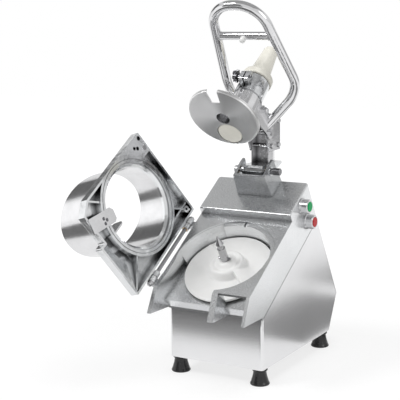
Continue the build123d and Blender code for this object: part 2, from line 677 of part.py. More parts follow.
nodes["driven_pulley"] = SPINDLE * driven_pulley
nodes["drive_belt"] = SPINDLE * (belt_form(BELT_GAP + BELT_THICKNESS) - belt_form(BELT_GAP))
nodes["motor_pulley"] = MOTOR * pulley(MOTOR_PULLEY_RADIUS, MOTOR_SHAFT_RADIUS)
nodes["motor_shaft"] = MOTOR * rod(MOTOR_SHAFT_RADIUS, -162, PULLEY_HIGH + 2)

# Motor: a ribbed can that hangs from a plate, which long spacers tie to the casting
PLATE_LOW = -150.0
PLATE_SHEET = 4.0
MOTOR_RADIUS = 55.0
MOTOR_END = -288.0
motor_plate = block((AXIS_X - 70, AXIS_X + 70), (204, 335), (PLATE_LOW, PLATE_LOW + PLATE_SHEET))
motor_plate -= rod(18.0, -160, -140, AXIS_X, MOTOR_V)
motor_plate = chamfer(motor_plate.edges().filter_by(Axis.Z).sort_by(Axis.Y)[-2:], 14.0)
SPACER_BORE = 3.0
spacers = []
for u, v in MOTOR_BOSSES:
    motor_plate -= rod(SPACER_BORE, -160, -140, u, v)
    spacers.append(INCLINE * ring(6.0, SPACER_BORE, PLATE_LOW + PLATE_SHEET, BOSS_END, u, v))
motor = rod(MOTOR_RADIUS - 3, MOTOR_END + 4, PLATE_LOW) + rod(MOTOR_RADIUS, PLATE_LOW - 14, PLATE_LOW)
motor += rod(MOTOR_RADIUS, MOTOR_END, MOTOR_END + 16)
for index in range(24):
    fin_bar = block((MOTOR_RADIUS - 4, MOTOR_RADIUS), (-1, 1), (MOTOR_END + 15, PLATE_LOW - 13))
    motor += Rot(0, 0, 15 * index) * fin_bar
motor -= rod(MOTOR_SHAFT_RADIUS + RUNNING, -163, -140)
nodes["motor_plate"] = INCLINE * motor_plate
nodes["plate_spacers"] = group(spacers)
nodes["motor_body"] = MOTOR * motor

# Lever pedestal: an open-backed cast bracket on the hood, with a bored boss on each side wall
PEDESTAL_V = (290.0, 346.0)
PEDESTAL_W = (HOOD_RISE, 81.0)
PEDESTAL_HALF = (44.0, 38.5)
PEDESTAL_WALL = 6.0
PIVOT = to_incline(*ARM_PIVOT)
PIN_RADIUS_LEVER = 6.0


def pedestal_form(inset, v_high, w_low, w_high):
    """A tapered block whose side walls lean inwards as they rise."""
    sections = []
    lean = (PEDESTAL_HALF[1] - PEDESTAL_HALF[0]) / (PEDESTAL_W[1] - PEDESTAL_W[0])
    for w in (w_low, w_high):
        half = PEDESTAL_HALF[0] + (w - PEDESTAL_W[0]) * lean - inset
        middle = (PEDESTAL_V[0] + inset + v_high) / 2
        face = Rectangle(2 * half, v_high - PEDESTAL_V[0] - inset)
        sections.append(Pos(AXIS_X, middle, w) * face)
    return loft(sections)


pedestal = pedestal_form(0.0, PEDESTAL_V[1], PEDESTAL_W[0], PEDESTAL_W[1] + 2)
pedestal_room = pedestal_form(
    PEDESTAL_WALL, PEDESTAL_V[1] + 20, PEDESTAL_W[0] + PEDESTAL_WALL, PEDESTAL_W[1] + 8
)
pedestal -= pedestal_room
crest_line = [(280, 75), (300, 76), (330, PEDESTAL_W[1]), (346, PEDESTAL_W[1] - 1), (360, 70)]
crest_side = crest_line + [(360, 120), (280, 120)]
pedestal -= side_panel(crest_side, -60, 70)
BOSS_FACE = 42.0
for side in (-1, 1):
    low, high = sorted((AXIS_X + side * (BOSS_FACE - 8), AXIS_X + side * BOSS_FACE))
    pedestal += cross_rod(10.5, low, high, *PIVOT)
pedestal -= pedestal_room
pedestal -= cross_rod(PIN_RADIUS_LEVER, -80, 90, *PIVOT)
pedestal_screws = []
for u, v in PEDESTAL_SCREWS:
    pedestal -= rod(3.0, 0, 40, u, v)
    screw = rod(3.0, HOOD_RISE - 5, HOOD_RISE + 6, u, v)
    screw += fillet(rod(5.5, HOOD_RISE + 6, HOOD_RISE + 10, u, v).edges().group_by(Axis.Z)[-1], 1.5)
    pedestal_screws.append(screw)
nodes["lever_pedestal"] = INCLINE * pedestal
nodes["pedestal_screws"] = group([INCLINE * screw for screw in pedestal_screws])

# Lever pin: headed on the left, and held on the right by a knurled knob
pin_head = AXIS_X - BOSS_FACE
pin_end = AXIS_X + BOSS_FACE
lever_pin = cross_rod(PIN_RADIUS_LEVER, pin_head, pin_end + 16, *ARM_PIVOT)
lever_pin += fillet(cross_rod(9.0, pin_head - 8, pin_head, *ARM_PIVOT).edges().group_by(Axis.X)[0], 3.0)
GRIP_RADIUS = 8.0
knob = cross_rod(7.0, pin_end, pin_end + 5, *ARM_PIVOT)
knob += cross_rod(GRIP_RADIUS, pin_end + 5, pin_end + 22, *ARM_PIVOT)
knob = chamfer(knob.edges().group_by(Axis.X)[-1], 1.2)
for index in range(16):
    flute = block((0, 18), (GRIP_RADIUS - 0.5, GRIP_RADIUS + 1), (-0.6, 0.6))
    knob -= Pos(pin_end + 5, *ARM_PIVOT) * Rot(22.5 * index, 0, 0) * flute
knob -= cross_rod(PIN_RADIUS_LEVER, pin_end - 1, pin_end + 16, *ARM_PIVOT)
nodes["lever_pin"] = lever_pin
nodes["lever_pin_knob"] = knob

# Lever arm: a yoke on the pin, a channel and an oval strut above it, and two side plates
CHANNEL_HALF = 21.5
CHANNEL_SHEET = 3.0
CHANNEL_Y = (206.0, 229.0)
STRUT_Y = (236.0, 262.0)
COLUMN_FOOT = 450.0
COLUMN_TOP = 558.0
FOOT_PLATE = 6.0
CHEEK_SHEET = 5.0
YOKE_HALF = 25.5
arm_y, arm_z = ARM_PIVOT
cheek_outline = [
    (arm_y - 11, arm_z + 7),
    (CHANNEL_Y[0] - 4, COLUMN_FOOT),
    (STRUT_Y[1] + 4, COLUMN_FOOT),
    (STRUT_Y[1] + 4, COLUMN_FOOT - FOOT_PLATE),
    (CHANNEL_Y[0] + 24, arm_z - 6),
    (arm_y + 4, arm_z - 12.4),
]
yoke_foot = (arm_y - 14, STRUT_Y[1] + 4)
yoke = block((AXIS_X - YOKE_HALF, AXIS_X + YOKE_HALF), yoke_foot, (COLUMN_FOOT - FOOT_PLATE, COLUMN_FOOT))
yoke += cross_rod(12.0, AXIS_X - YOKE_HALF + 1, AXIS_X + YOKE_HALF - 1, arm_y, arm_z)
BUSH_RADIUS = 8.5
arm_bushes = []
for side in (-1, 1):
    low, high = sorted((AXIS_X + side * (YOKE_HALF - CHEEK_SHEET), AXIS_X + side * YOKE_HALF))
    yoke += side_panel(cheek_outline, low, high)
    yoke += cross_rod(13.0, low, high, arm_y, arm_z)
    bush_inner, bush_face = YOKE_HALF - CHEEK_SHEET - 3, YOKE_HALF + 3
    bush_low, bush_high = sorted((AXIS_X + side * bush_inner, AXIS_X + side * bush_face))
    yoke += cross_rod(11.0, bush_low, bush_high, arm_y, arm_z)
    bush = cross_ring(BUSH_RADIUS, PIN_RADIUS_LEVER + RUNNING, bush_low, bush_high, arm_y, arm_z)
    arm_bushes.append(bush)
yoke -= cross_rod(BUSH_RADIUS, -60, 60, arm_y, arm_z)
nodes["arm_yoke"] = yoke
nodes["arm_bushes"] = group(arm_bushes)
channel = block((AXIS_X - CHANNEL_HALF, AXIS_X + CHANNEL_HALF), CHANNEL_Y, (COLUMN_FOOT, COLUMN_TOP))
inner_half = CHANNEL_HALF - CHANNEL_SHEET
channel -= block((AXIS_X - inner_half, AXIS_X + inner_half), (100, CHANNEL_Y[1] - CHANNEL_SHEET), (400, 600))
strut_deep = STRUT_Y[1] - STRUT_Y[0]
strut_face = fillet(Rectangle(28, strut_deep).vertices(), 11.0)
strut_face -= fillet(Rectangle(24, strut_deep - 4).vertices(), 9.0)
strut = Pos(AXIS_X, sum(STRUT_Y) / 2, COLUMN_FOOT) * extrude(strut_face, amount=COLUMN_TOP - COLUMN_FOOT)

# Side plates bolted outside the channel, which carry the pusher's pivot in front of it
SIDE_SHEET = 4.0
side_low = CHANNEL_HALF
side_high = side_low + SIDE_SHEET
pivot_y, pivot_z = HEAD_PIVOT
side_outline = [
    (CHANNEL_Y[0], 478.0),
    (258.0, 478.0),
    (258.0, COLUMN_TOP),
    (222.0, COLUMN_TOP),
    (pivot_y - 6, pivot_z + 13),
    (pivot_y - 12, pivot_z + 5),
    (pivot_y - 12, pivot_z - 6),
]
COLUMN_BOLTS = [(216.0, 489.0), (249.0, 489.0), (249.0, 544.0)]
COLUMN_BOLT = 3.0
PIVOT_BOLT = 5.0
BUSH_WALL = 2.0
side_plates = []
pivot_bushes = []
for side in (-1, 1):
    low, high = sorted((AXIS_X + side * side_low, AXIS_X + side * side_high))
    plate = side_panel(side_outline, low, high) + cross_rod(13.0, low, high, *HEAD_PIVOT)
    plate -= cross_rod(PIVOT_BOLT + BUSH_WALL, -60, 60, *HEAD_PIVOT)
    for y, z in COLUMN_BOLTS:
        plate -= cross_rod(COLUMN_BOLT, -60, 60, y, z)
    side_plates.append(plate)
    pivot_bushes.append(cross_ring(PIVOT_BOLT + BUSH_WALL, PIVOT_BOLT + RUNNING, low, high, *HEAD_PIVOT))
bolts = []
nuts = []
for y, z in COLUMN_BOLTS:
    reach = side_high
    bolt = cross_rod(COLUMN_BOLT, AXIS_X - reach - 5, AXIS_X + reach, y, z)
    bolt_head = cross_rod(5.5, AXIS_X + reach, AXIS_X + reach + 4, y, z)
    bolt += fillet(bolt_head.edges().group_by(Axis.X)[-1], 1.5)
    bolts.append(bolt)
    nut = hexagon(10.0, 0, 5) - rod(COLUMN_BOLT, -1, 6)
    nuts.append(Location((AXIS_X - reach - 5, y, z), (0, 90, 0)) * nut)
    channel -= cross_rod(COLUMN_BOLT, -60, 60, y, z)
    strut -= cross_rod(COLUMN_BOLT, -60, 60, y, z)
nodes["arm_channel"] = channel
nodes["rear_strut"] = strut
nodes["arm_side_plates"] = group(side_plates)
nodes["column_bolts"] = group(bolts)
nodes["column_nuts"] = group(nuts)
nodes["pivot_bushes"] = group(pivot_bushes)

# Pusher brackets: two plates on the pivot bolt, cut to seat on the sides of the pestle tube
BRACKET_LOW = side_high + 0.6
BRACKET_HIGH = BRACKET_LOW + 4.0
BRACKET_TUBE = (46.0, 106.0)
bracket_outline = [
    (PESTLE_OFFSET, BRACKET_TUBE[0]),
    (74.0, BRACKET_TUBE[0]),
    (80.0, 68.0),
    (HEAD_PIVOT_BACK + 2, HEAD_PIVOT_UP - 12),
    (HEAD_PIVOT_BACK + 12, HEAD_PIVOT_UP),
    (146.0, 109.0),
    (132.0, 121.0),
    (112.0, 121.0),
    (88.0, 115.0),
    (72.0, 113.0),
    (68.5, BRACKET_TUBE[1]),
    (PESTLE_OFFSET, BRACKET_TUBE[1]),
]
tube_solid = rod(PESTLE_TUBE_OUTER, -10, 300, 0, PESTLE_OFFSET)
NUT_SPOT = (79.5, 104.0)
PIVOT_SPOT = (HEAD_PIVOT_BACK, HEAD_PIVOT_UP)
NUT_ACROSS = 15.0
EAR_BOLT = 4.0
brackets = []
for side in (-1, 1):
    low, high = sorted((side * BRACKET_LOW, side * BRACKET_HIGH))
    plate = side_panel(bracket_outline, low, high) + cross_rod(14.0, low, high, *PIVOT_SPOT)
    plate -= cross_rod(PIVOT_BOLT, -60, 60, *PIVOT_SPOT)
    plate -= cross_rod(EAR_BOLT, -60, 60, *NUT_SPOT)
    brackets.append(plate - tube_solid)


def dome_nut(bore):
    """A hexagon nut closed by a dome."""
    nut = hexagon(NUT_ACROSS, 0, 6) + fillet(rod(6.8, 5, 11).edges().group_by(Axis.Z)[-1], 4.5)
    return nut - rod(bore, -1, 6)


thread_end = BRACKET_HIGH + 6
bracket_bolts = []
for side in (-1, 1):
    low, high = sorted((side * (BRACKET_LOW - 5), side * thread_end))
    bolt = cross_rod(EAR_BOLT, low, high, *NUT_SPOT)
    bolt += Location((side * (BRACKET_LOW - 5), *NUT_SPOT), (0, side * 90, 0)) * hexagon(12.0, 0, 5)
    bracket_bolts.append(PUSHER * bolt)
pivot_bolt = cross_rod(PIVOT_BOLT, -thread_end, BRACKET_HIGH, *PIVOT_SPOT)
pivot_bolt += Location((BRACKET_HIGH, *PIVOT_SPOT), (0, 90, 0)) * hexagon(NUT_ACROSS, 0, 6)
dome_nuts = [
    Location((BRACKET_HIGH, *NUT_SPOT), (0, 90, 0)) * dome_nut(EAR_BOLT),
    Location((-BRACKET_HIGH, *NUT_SPOT), (0, -90, 0)) * dome_nut(EAR_BOLT),
    Location((-BRACKET_HIGH, *PIVOT_SPOT), (0, -90, 0)) * dome_nut(PIVOT_BOLT),
]
nodes["pusher_brackets"] = group([PUSHER * piece for piece in brackets])
nodes["bracket_bolts"] = group(bracket_bolts)
nodes["pivot_bolt"] = PUSHER * pivot_bolt
nodes["dome_nuts"] = group([PUSHER * piece for piece in dome_nuts])

# Pusher plate: a round pressed plate, notched to pass the fin and holed for the spindle and the pestle
PLATE_THICKNESS = 3.0
SLEEVE_OUTER = 15.8
SLEEVE_INNER = 15.0
SLEEVE_TOP = 50.0
NOTCH = (45.0, 84.0)
plate = rod(PLATE_RADIUS, 0, 8)
plate = fillet(plate.edges().group_by(Axis.Z)[0], 3.0)
plate -= rod(PLATE_RADIUS - 2.5, PLATE_THICKNESS, 9)
notch_plan = Polyline((-10, -NOTCH[0]), (10, -NOTCH[0]), (14, -NOTCH[1]), (-14, -NOTCH[1]), close=True)
notch = extrude(Pos(0, 0, -5) * make_face(notch_plan), amount=20)
plate -= fillet(notch.edges().filter_by(Axis.Z).sort_by(Axis.Y)[-2:], 4.0)
plate -= rod(SLEEVE_OUTER, -1, 20)
sleeve = rod(SLEEVE_OUTER, 0, SLEEVE_TOP) - rod(SLEEVE_INNER, -1, SLEEVE_TOP - PLATE_THICKNESS)
plate -= rod(PESTLE_TUBE_INNER, -1, 20, 0, PESTLE_OFFSET)
tube = ring(PESTLE_TUBE_OUTER, PESTLE_TUBE_INNER, PLATE_THICKNESS, PESTLE_TUBE_LENGTH, 0, PESTLE_OFFSET)
plate -= ring(PESTLE_TUBE_OUTER, PESTLE_TUBE_INNER - 1, PLATE_THICKNESS, 20, 0, PESTLE_OFFSET)
nodes["pusher_plate"] = PUSHER * plate
nodes["spindle_sleeve"] = PUSHER * sleeve

# Clamp sleeve: a split collar round the top of the tube, whose front lugs a star knob draws together
CLAMP = (107.0, 155.0)
CLAMP_OUTER = 33.2
LUG_HALF = 11.0
LUG_T = (118.0, 146.0)
lug_reach = (PESTLE_OFFSET - CLAMP_OUTER - 17, PESTLE_OFFSET - PESTLE_TUBE_OUTER + 3)
clamp = ring(CLAMP_OUTER, PESTLE_TUBE_OUTER, *CLAMP, 0, PESTLE_OFFSET)
lugs = block((-LUG_HALF, LUG_HALF), lug_reach, LUG_T)
lugs = fillet(lugs.edges().filter_by(Axis.X).sort_by(Axis.Y)[:2], 6.0)
clamp = (clamp + lugs) - rod(PESTLE_TUBE_OUTER, 0, 200, 0, PESTLE_OFFSET)
clamp -= block((-1.5, 1.5), (-40, PESTLE_OFFSET - 20), (CLAMP[0] - 1, CLAMP[1] + 1))
KNOB_Y = lug_reach[0] + 7.0
KNOB_T = sum(LUG_T) / 2
STUD = 3.0
clamp -= cross_rod(STUD + RUNNING, -40, 40, KNOB_Y, KNOB_T)
nodes["tube_clamp"] = PUSHER * clamp
nodes["pusher_tube"] = PUSHER * tube

# Clamp knob: a lobed head and its stud, which turn in the clamp lugs
LOBES = 6
KNOB_RADIUS = 14.5
KNOB = PUSHER * Location((0, KNOB_Y, KNOB_T), (0, -90, 0))
knob_head = rod(KNOB_RADIUS, LUG_HALF + 7, LUG_HALF + 16)
knob_head = fillet(knob_head.edges().group_by(Axis.Z)[-1], 2.5)
for index in range(LOBES):
    knob_head -= Rot(0, 0, 360 * index / LOBES) * rod(5.0, 0, 40, KNOB_RADIUS + 1.0)
knob_neck = rod(6.0, LUG_HALF + 0.5, LUG_HALF + 8)
clamp_knob = knob_head + knob_neck + rod(STUD, -LUG_HALF - 4, LUG_HALF + 6)
nodes["clamp_knob"] = KNOB * clamp_knob

# Handle loop: one bent tube from bracket to bracket, with a crossbar and its rest button
HANDLE_WALL = 1.5
loop_points = []
for side in (1, -1):
    leg = [(side * 22.0, 196.0, 536.0), (side * 89.5, 224.0, 617.0), (side * 58.0, 86.2, 803.6)]
    loop_points += leg if side == 1 else leg[::-1]
loop_points = [(AXIS_X + x, y, z) for x, y, z in loop_points]
loop_path = FilletPolyline(*loop_points, radius=(56.0, 61.0, 61.0, 56.0))
section_plane = Plane(origin=loop_path @ 0, z_dir=loop_path % 0)
handle_solid = sweep(section_plane * Circle(HANDLE_TUBE_RADIUS), path=loop_path)
handle_bore = sweep(section_plane * Circle(HANDLE_TUBE_RADIUS - HANDLE_WALL), path=loop_path)
between = block((AXIS_X - BRACKET_HIGH, AXIS_X + BRACKET_HIGH), (100, 300), (450, 640))
handle = handle_solid - handle_bore - between - PUSHER * cross_rod(NUT_ACROSS * 0.6, -60, 60, *PIVOT_SPOT)
CROSSBAR = (136.0, 738.0)
CROSSBAR_RADIUS = 9.0
crossbar = cross_rod(CROSSBAR_RADIUS, AXIS_X - 68, AXIS_X + 68, *CROSSBAR) - handle_solid
crossbar = crossbar.solids().sort_by(SortBy.VOLUME)[-1]
nodes["handle_loop"] = handle
nodes["handle_crossbar"] = crossbar
BUMPER = Location((AXIS_X, *CROSSBAR), (SLOPE - PUSHER_TURN, 0, 0))
bumper = fillet(rod(6.5, -20, -6).edges().group_by(Axis.Z)[0], 5.0)
bumper -= cross_rod(CROSSBAR_RADIUS, -20, 20, 0, 0)
nodes["crossbar_bumper"] = BUMPER * bumper

# Pestle: a turned plastic plug with a flange that rests on the tube and a tapered grip
PESTLE_SEAT = PESTLE_TUBE_LENGTH + 0.3
pestle = lathe(
    [
        (0.0, 0.0),
        (PESTLE_RADIUS - 1.5, 0.0),
        (PESTLE_RADIUS, 1.5),
        (PESTLE_RADIUS, PESTLE_SEAT),
        (34.0, PESTLE_SEAT),
        (35.5, PESTLE_SEAT + 2),
        (35.5, PESTLE_SEAT + 14),
        (33.0, PESTLE_SEAT + 17),
        (25.5, PESTLE_SEAT + 18),
        (24.0, PESTLE_SEAT + 20.5),
        (16.5, PESTLE_SEAT + 97),
        (13.0, PESTLE_SEAT + 102),
        (0.0, PESTLE_SEAT + 103.7),
    ]
)
nodes["pestle"] = PUSHER * Pos(0, PESTLE_OFFSET, 0) * pestle

# Push buttons: a bezel in the cheek, a coloured cap that travels in it, and a switch block behind
BEZEL_RADIUS = 16.0
BEZEL_REACH = 20.0
CAP_RADIUS = 11.2
CAP_BORE = 11.6
bezel = lathe(
    [
        (CAP_BORE, 1.0),
        (CAP_BORE, BEZEL_REACH),
        (14.5, BEZEL_REACH),
        (BEZEL_RADIUS, BEZEL_REACH - 2),
        (BEZEL_RADIUS, 4.0),
        (BEZEL_RADIUS + 1.5, 3.0),
        (BEZEL_RADIUS + 1.5, 0.0),
        (BARREL_RADIUS, 0.0),
        (BARREL_RADIUS, -12.0),
        (6.0, -12.0),
        (6.0, 1.0),
    ]
)
cap = rod(CAP_RADIUS, 6.0, BEZEL_REACH + 1.5) + rod(5.5, -10.0, 7.0)
cap = fillet(cap.edges().group_by(Axis.Z)[-1], 1.4)
bezels = []
switch_blocks = []
for name, place in (("start_button", START_PLACE), ("stop_button", STOP_PLACE)):
    BUTTON = INCLINE * Location((HALF_WIDTH, *place), (0, 90, 0))
    bezels.append(BUTTON * bezel)
    nodes[name] = BUTTON * cap
    switch_block = block((-14, 14), (-14, 14), (-44, -12)) - rod(5.5 + RUNNING, -15, -11)
    switch_blocks.append(BUTTON * switch_block)
nodes["button_bezels"] = group(bezels)
nodes["switch_blocks"] = group(switch_blocks)

# Interlock sensor: it hangs under the casting where the magnet of the closed hopper comes to rest
SENSOR_TOP = -10.0
sensor_body = rod(6.5, SENSOR_TOP - 14, SENSOR_TOP, *MAGNET)
sensor_body += rod(3.0, SENSOR_TOP - 20, SENSOR_TOP - 13, *MAGNET)
nodes["interlock_sensor"] = INCLINE * sensor_body

# Inlet gland: a hollow screwed collar in the undercut rear panel
gland = hexagon(22.0, 0, 6) + rod(10.0, 5, 12) + rod(GLAND_THREAD, -8, 2)
gland = fillet(gland.edges().group_by(Axis.Z)[-1], 3.0) - rod(4.0, -20, 30)
nodes["inlet_gland"] = GLAND * gland

# The frame stands on the floor, under the middle of everything as it rests
boxes = [shape.bounding_box() for shape in nodes.values()]
middle_x = (min(box.min.X for box in boxes) + max(box.max.X for box in boxes)) / 2
middle_y = (min(box.min.Y for box in boxes) + max(box.max.Y for box in boxes)) / 2
print("moved by", round(-middle_x, 4), round(-middle_y, 4))

os.makedirs("parts", exist_ok=True)
for name, shape in nodes.items():
    export_step(shape.moved(Location((-middle_x, -middle_y, 0))), f"parts/{name}.step")
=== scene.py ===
import math

import bpy
from mathutils import Matrix, Vector


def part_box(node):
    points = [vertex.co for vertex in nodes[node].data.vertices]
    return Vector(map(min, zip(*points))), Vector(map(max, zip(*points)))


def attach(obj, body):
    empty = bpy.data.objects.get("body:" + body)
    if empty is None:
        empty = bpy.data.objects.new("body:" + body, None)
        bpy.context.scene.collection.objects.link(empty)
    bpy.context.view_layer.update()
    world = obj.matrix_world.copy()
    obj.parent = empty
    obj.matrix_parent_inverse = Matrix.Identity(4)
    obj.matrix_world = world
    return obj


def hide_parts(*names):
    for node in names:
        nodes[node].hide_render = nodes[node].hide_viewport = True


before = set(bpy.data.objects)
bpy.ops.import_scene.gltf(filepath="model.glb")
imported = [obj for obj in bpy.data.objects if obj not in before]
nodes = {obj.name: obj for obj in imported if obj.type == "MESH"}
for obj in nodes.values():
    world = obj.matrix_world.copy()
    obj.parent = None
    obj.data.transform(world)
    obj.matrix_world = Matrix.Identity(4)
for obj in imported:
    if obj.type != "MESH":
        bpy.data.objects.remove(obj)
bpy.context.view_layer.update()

bpy.ops.object.select_all(action="DESELECT")

# The camera stands to the right of the machine and a little above it, with a long lens.
# Its place, turn and lens were worked out from the photograph's straight edges.
view_azimuth = math.radians(30.4)
view_elevation = math.radians(9.8)
view_roll = math.radians(-0.7)
camera_place = (1.2556, -2.1304, 0.8004)
focal_pixels = 1116.5
frame_pixels = 400
sensor_width = 36.0

bpy.ops.object.camera_add(location=camera_place)
camera = bpy.context.object
camera.name = "view_camera"
camera.matrix_world = (
    Matrix.Translation(camera_place)
    @ Matrix.Rotation(view_azimuth, 4, "Z")
    @ Matrix.Rotation(math.pi / 2 - view_elevation, 4, "X")
    @ Matrix.Rotation(view_roll, 4, "Z")
)
camera.data.sensor_width = sensor_width
camera.data.lens = focal_pixels / frame_pixels * sensor_width
bpy.context.scene.camera = camera
bpy.context.scene.view_settings.view_transform = "Standard"

# The studio floor: a wide white table that keeps the machine's soft shadow.
# Away from the machine it fades into the white of the surround, so no horizon shows.
floor_size = 12.0
fade_begins = 0.35
fade_ends = 1.3
white_under_machine = 0.66
floor_glow = 1.1

bpy.ops.mesh.primitive_plane_add(size=floor_size, location=(0, 0, 0))
floor = bpy.context.object
floor.name = "studio_floor"
floor_paint = bpy.data.materials.new("floor_paint")
floor_paint.use_nodes = True
tree = floor_paint.node_tree
tree.nodes.clear()
paths = tree.nodes.new("ShaderNodeLightPath")
seen = tree.nodes.new("ShaderNodeMath")
seen.operation = "MAXIMUM"
tree.links.new(paths.outputs["Is Camera Ray"], seen.inputs[0])
tree.links.new(paths.outputs["Is Glossy Ray"], seen.inputs[1])
places = tree.nodes.new("ShaderNodeTexCoord")
reach = tree.nodes.new("ShaderNodeVectorMath")
reach.operation = "LENGTH"
tree.links.new(places.outputs["Object"], reach.inputs[0])
fade = tree.nodes.new("ShaderNodeMapRange")
fade.interpolation_type = "SMOOTHSTEP"
fade.inputs["From Min"].default_value = fade_begins
fade.inputs["From Max"].default_value = fade_ends
fade.inputs["To Min"].default_value = white_under_machine
fade.inputs["To Max"].default_value = 1.0
tree.links.new(reach.outputs["Value"], fade.inputs["Value"])
part_seen = tree.nodes.new("ShaderNodeMath")
part_seen.operation = "MULTIPLY"
tree.links.new(seen.outputs[0], part_seen.inputs[0])
tree.links.new(fade.outputs["Result"], part_seen.inputs[1])
matt = tree.nodes.new("ShaderNodeBsdfDiffuse")
matt.inputs["Color"].default_value = (0.93, 0.93, 0.93, 1)
glow = tree.nodes.new("ShaderNodeEmission")
glow.inputs["Color"].default_value = (1, 1, 1, 1)
glow.inputs["Strength"].default_value = floor_glow
mixed = tree.nodes.new("ShaderNodeMixShader")
tree.links.new(part_seen.outputs[0], mixed.inputs[0])
tree.links.new(matt.outputs[0], mixed.inputs[1])
tree.links.new(glow.outputs[0], mixed.inputs[2])
surface_out = tree.nodes.new("ShaderNodeOutputMaterial")
tree.links.new(mixed.outputs[0], surface_out.inputs["Surface"])
floor.data.materials.append(floor_paint)

# The surround is white to the eye, light grey to polished metal, and gives a softer even
# light to everything that is matt.
white_strength = 1.0
mirrored_strength = 0.85
soft_strength = 0.38

world = bpy.data.worlds.new("studio_surround")
world.use_nodes = True
bpy.context.scene.world = world
tree = world.node_tree
tree.nodes.clear()
paths = tree.nodes.new("ShaderNodeLightPath")
seen_through = tree.nodes.new("ShaderNodeMath")
seen_through.operation = "MAXIMUM"
tree.links.new(paths.outputs["Is Camera Ray"], seen_through.inputs[0])
tree.links.new(paths.outputs["Is Transmission Ray"], seen_through.inputs[1])
surrounds = []
for strength in (white_strength, mirrored_strength, soft_strength):
    surround = tree.nodes.new("ShaderNodeBackground")
    surround.inputs["Color"].default_value = (1, 1, 1, 1)
    surround.inputs["Strength"].default_value = strength
    surrounds.append(surround)
white_surround, mirrored_surround, soft_surround = surrounds
lit_or_mirrored = tree.nodes.new("ShaderNodeMixShader")
tree.links.new(paths.outputs["Is Glossy Ray"], lit_or_mirrored.inputs[0])
tree.links.new(soft_surround.outputs[0], lit_or_mirrored.inputs[1])
tree.links.new(mirrored_surround.outputs[0], lit_or_mirrored.inputs[2])
mixed = tree.nodes.new("ShaderNodeMixShader")
tree.links.new(seen_through.outputs[0], mixed.inputs[0])
tree.links.new(lit_or_mirrored.outputs[0], mixed.inputs[1])
tree.links.new(white_surround.outputs[0], mixed.inputs[2])
world_out = tree.nodes.new("ShaderNodeOutputWorld")
tree.links.new(mixed.outputs[0], world_out.inputs["Surface"])


# Three soft lamps light the matt surfaces: the strongest from high at the front left, a
# weaker one from the right, and one above.
def softbox(name, place, aim, width, height, watts):
    """A large flat lamp turned towards a point on the machine."""
    bpy.ops.object.light_add(type="AREA", location=place)
    lamp = bpy.context.object
    lamp.name = name
    lamp.data.shape = "RECTANGLE"
    lamp.data.size = width
    lamp.data.size_y = height
    lamp.data.energy = watts
    direction = Vector(aim) - Vector(place)
    lamp.rotation_euler = direction.to_track_quat("-Z", "Y").to_euler()


softbox("key_softbox", (-1.5, -1.7, 2.6), (0, 0, 0.4), 1.1, 0.8, 46)
softbox("side_softbox", (2.4, -0.4, 1.5), (0, 0, 0.3), 1.0, 1.4, 9)
softbox("top_softbox", (0.5, 0.2, 2.9), (0, 0, 0.3), 1.2, 1.2, 18)


# Grey and white cards stand round the table, out of the camera's sight. Only polished metal
# mirrors them, which gives it its dark and bright bands.
def studio_card(name, place, aim, width, height, brightness):
    """A flat card of one even brightness, turned towards a point on the machine."""
    bpy.ops.mesh.primitive_plane_add(size=1, location=(0, 0, 0))
    card = bpy.context.object
    card.name = name
    direction = Vector(aim) - Vector(place)
    card.scale = (width, height, 1)
    card.rotation_euler = direction.to_track_quat("-Z", "Y").to_euler()
    card.location = place
    card.visible_camera = False
    card.visible_diffuse = False
    card.visible_shadow = False
    card.visible_transmission = False
    card.visible_volume_scatter = False
    paint = bpy.data.materials.new(name + "_paint")
    paint.use_nodes = True
    tree = paint.node_tree
    tree.nodes.clear()
    face = tree.nodes.new("ShaderNodeEmission")
    face.inputs["Color"].default_value = (1, 1, 1, 1)
    face.inputs["Strength"].default_value = brightness
    surface_out = tree.nodes.new("ShaderNodeOutputMaterial")
    tree.links.new(face.outputs[0], surface_out.inputs["Surface"])
    card.data.materials.append(paint)


studio_card("ceiling_card", (0, 0.1, 2.4), (0, 0.1, 0), 3.4, 3.4, 0.42)
studio_card("left_card", (-2.0, 0.25, 1.45), (0, 0, 0.4), 1.5, 1.1, 0.14)
studio_card("front_card", (-0.86, -1.95, 0.85), (0, 0, 0.4), 1.5, 1.5, 0.24)
studio_card("front_floor_card", (-0.35, -1.05, 0.01), (-0.35, -1.05, -1), 1.3, 1.42, 0.18)
studio_card("rear_right_floor_card", (0.37, 0.42, 0.01), (0.37, 0.42, -1), 0.22, 0.44, 0.26)
studio_card("spout_card", (0.10, -0.185, 0.125), (0.10, -0.185, -1), 0.34, 0.11, 0.14)
studio_card("rear_right_card", (1.3, 1.5, 0.6), (0.1, 0.2, 0.35), 1.2, 0.7, 0.5)
studio_card("bright_left_card", (-1.9, -1.1, 0.55), (0, 0, 0.4), 1.0, 1.2, 1.25)
studio_card("right_floor_card", (0.90, 0.15, 0.01), (0.90, 0.15, -1), 0.5, 0.7, 0.32)
studio_card("left_floor_card", (-0.80, 0.20, 0.01), (-0.80, 0.20, -1), 0.6, 0.9, 0.32)
studio_card("rear_floor_card", (0.10, 1.15, 0.01), (0.10, 1.15, -1), 0.9, 0.8, 0.32)


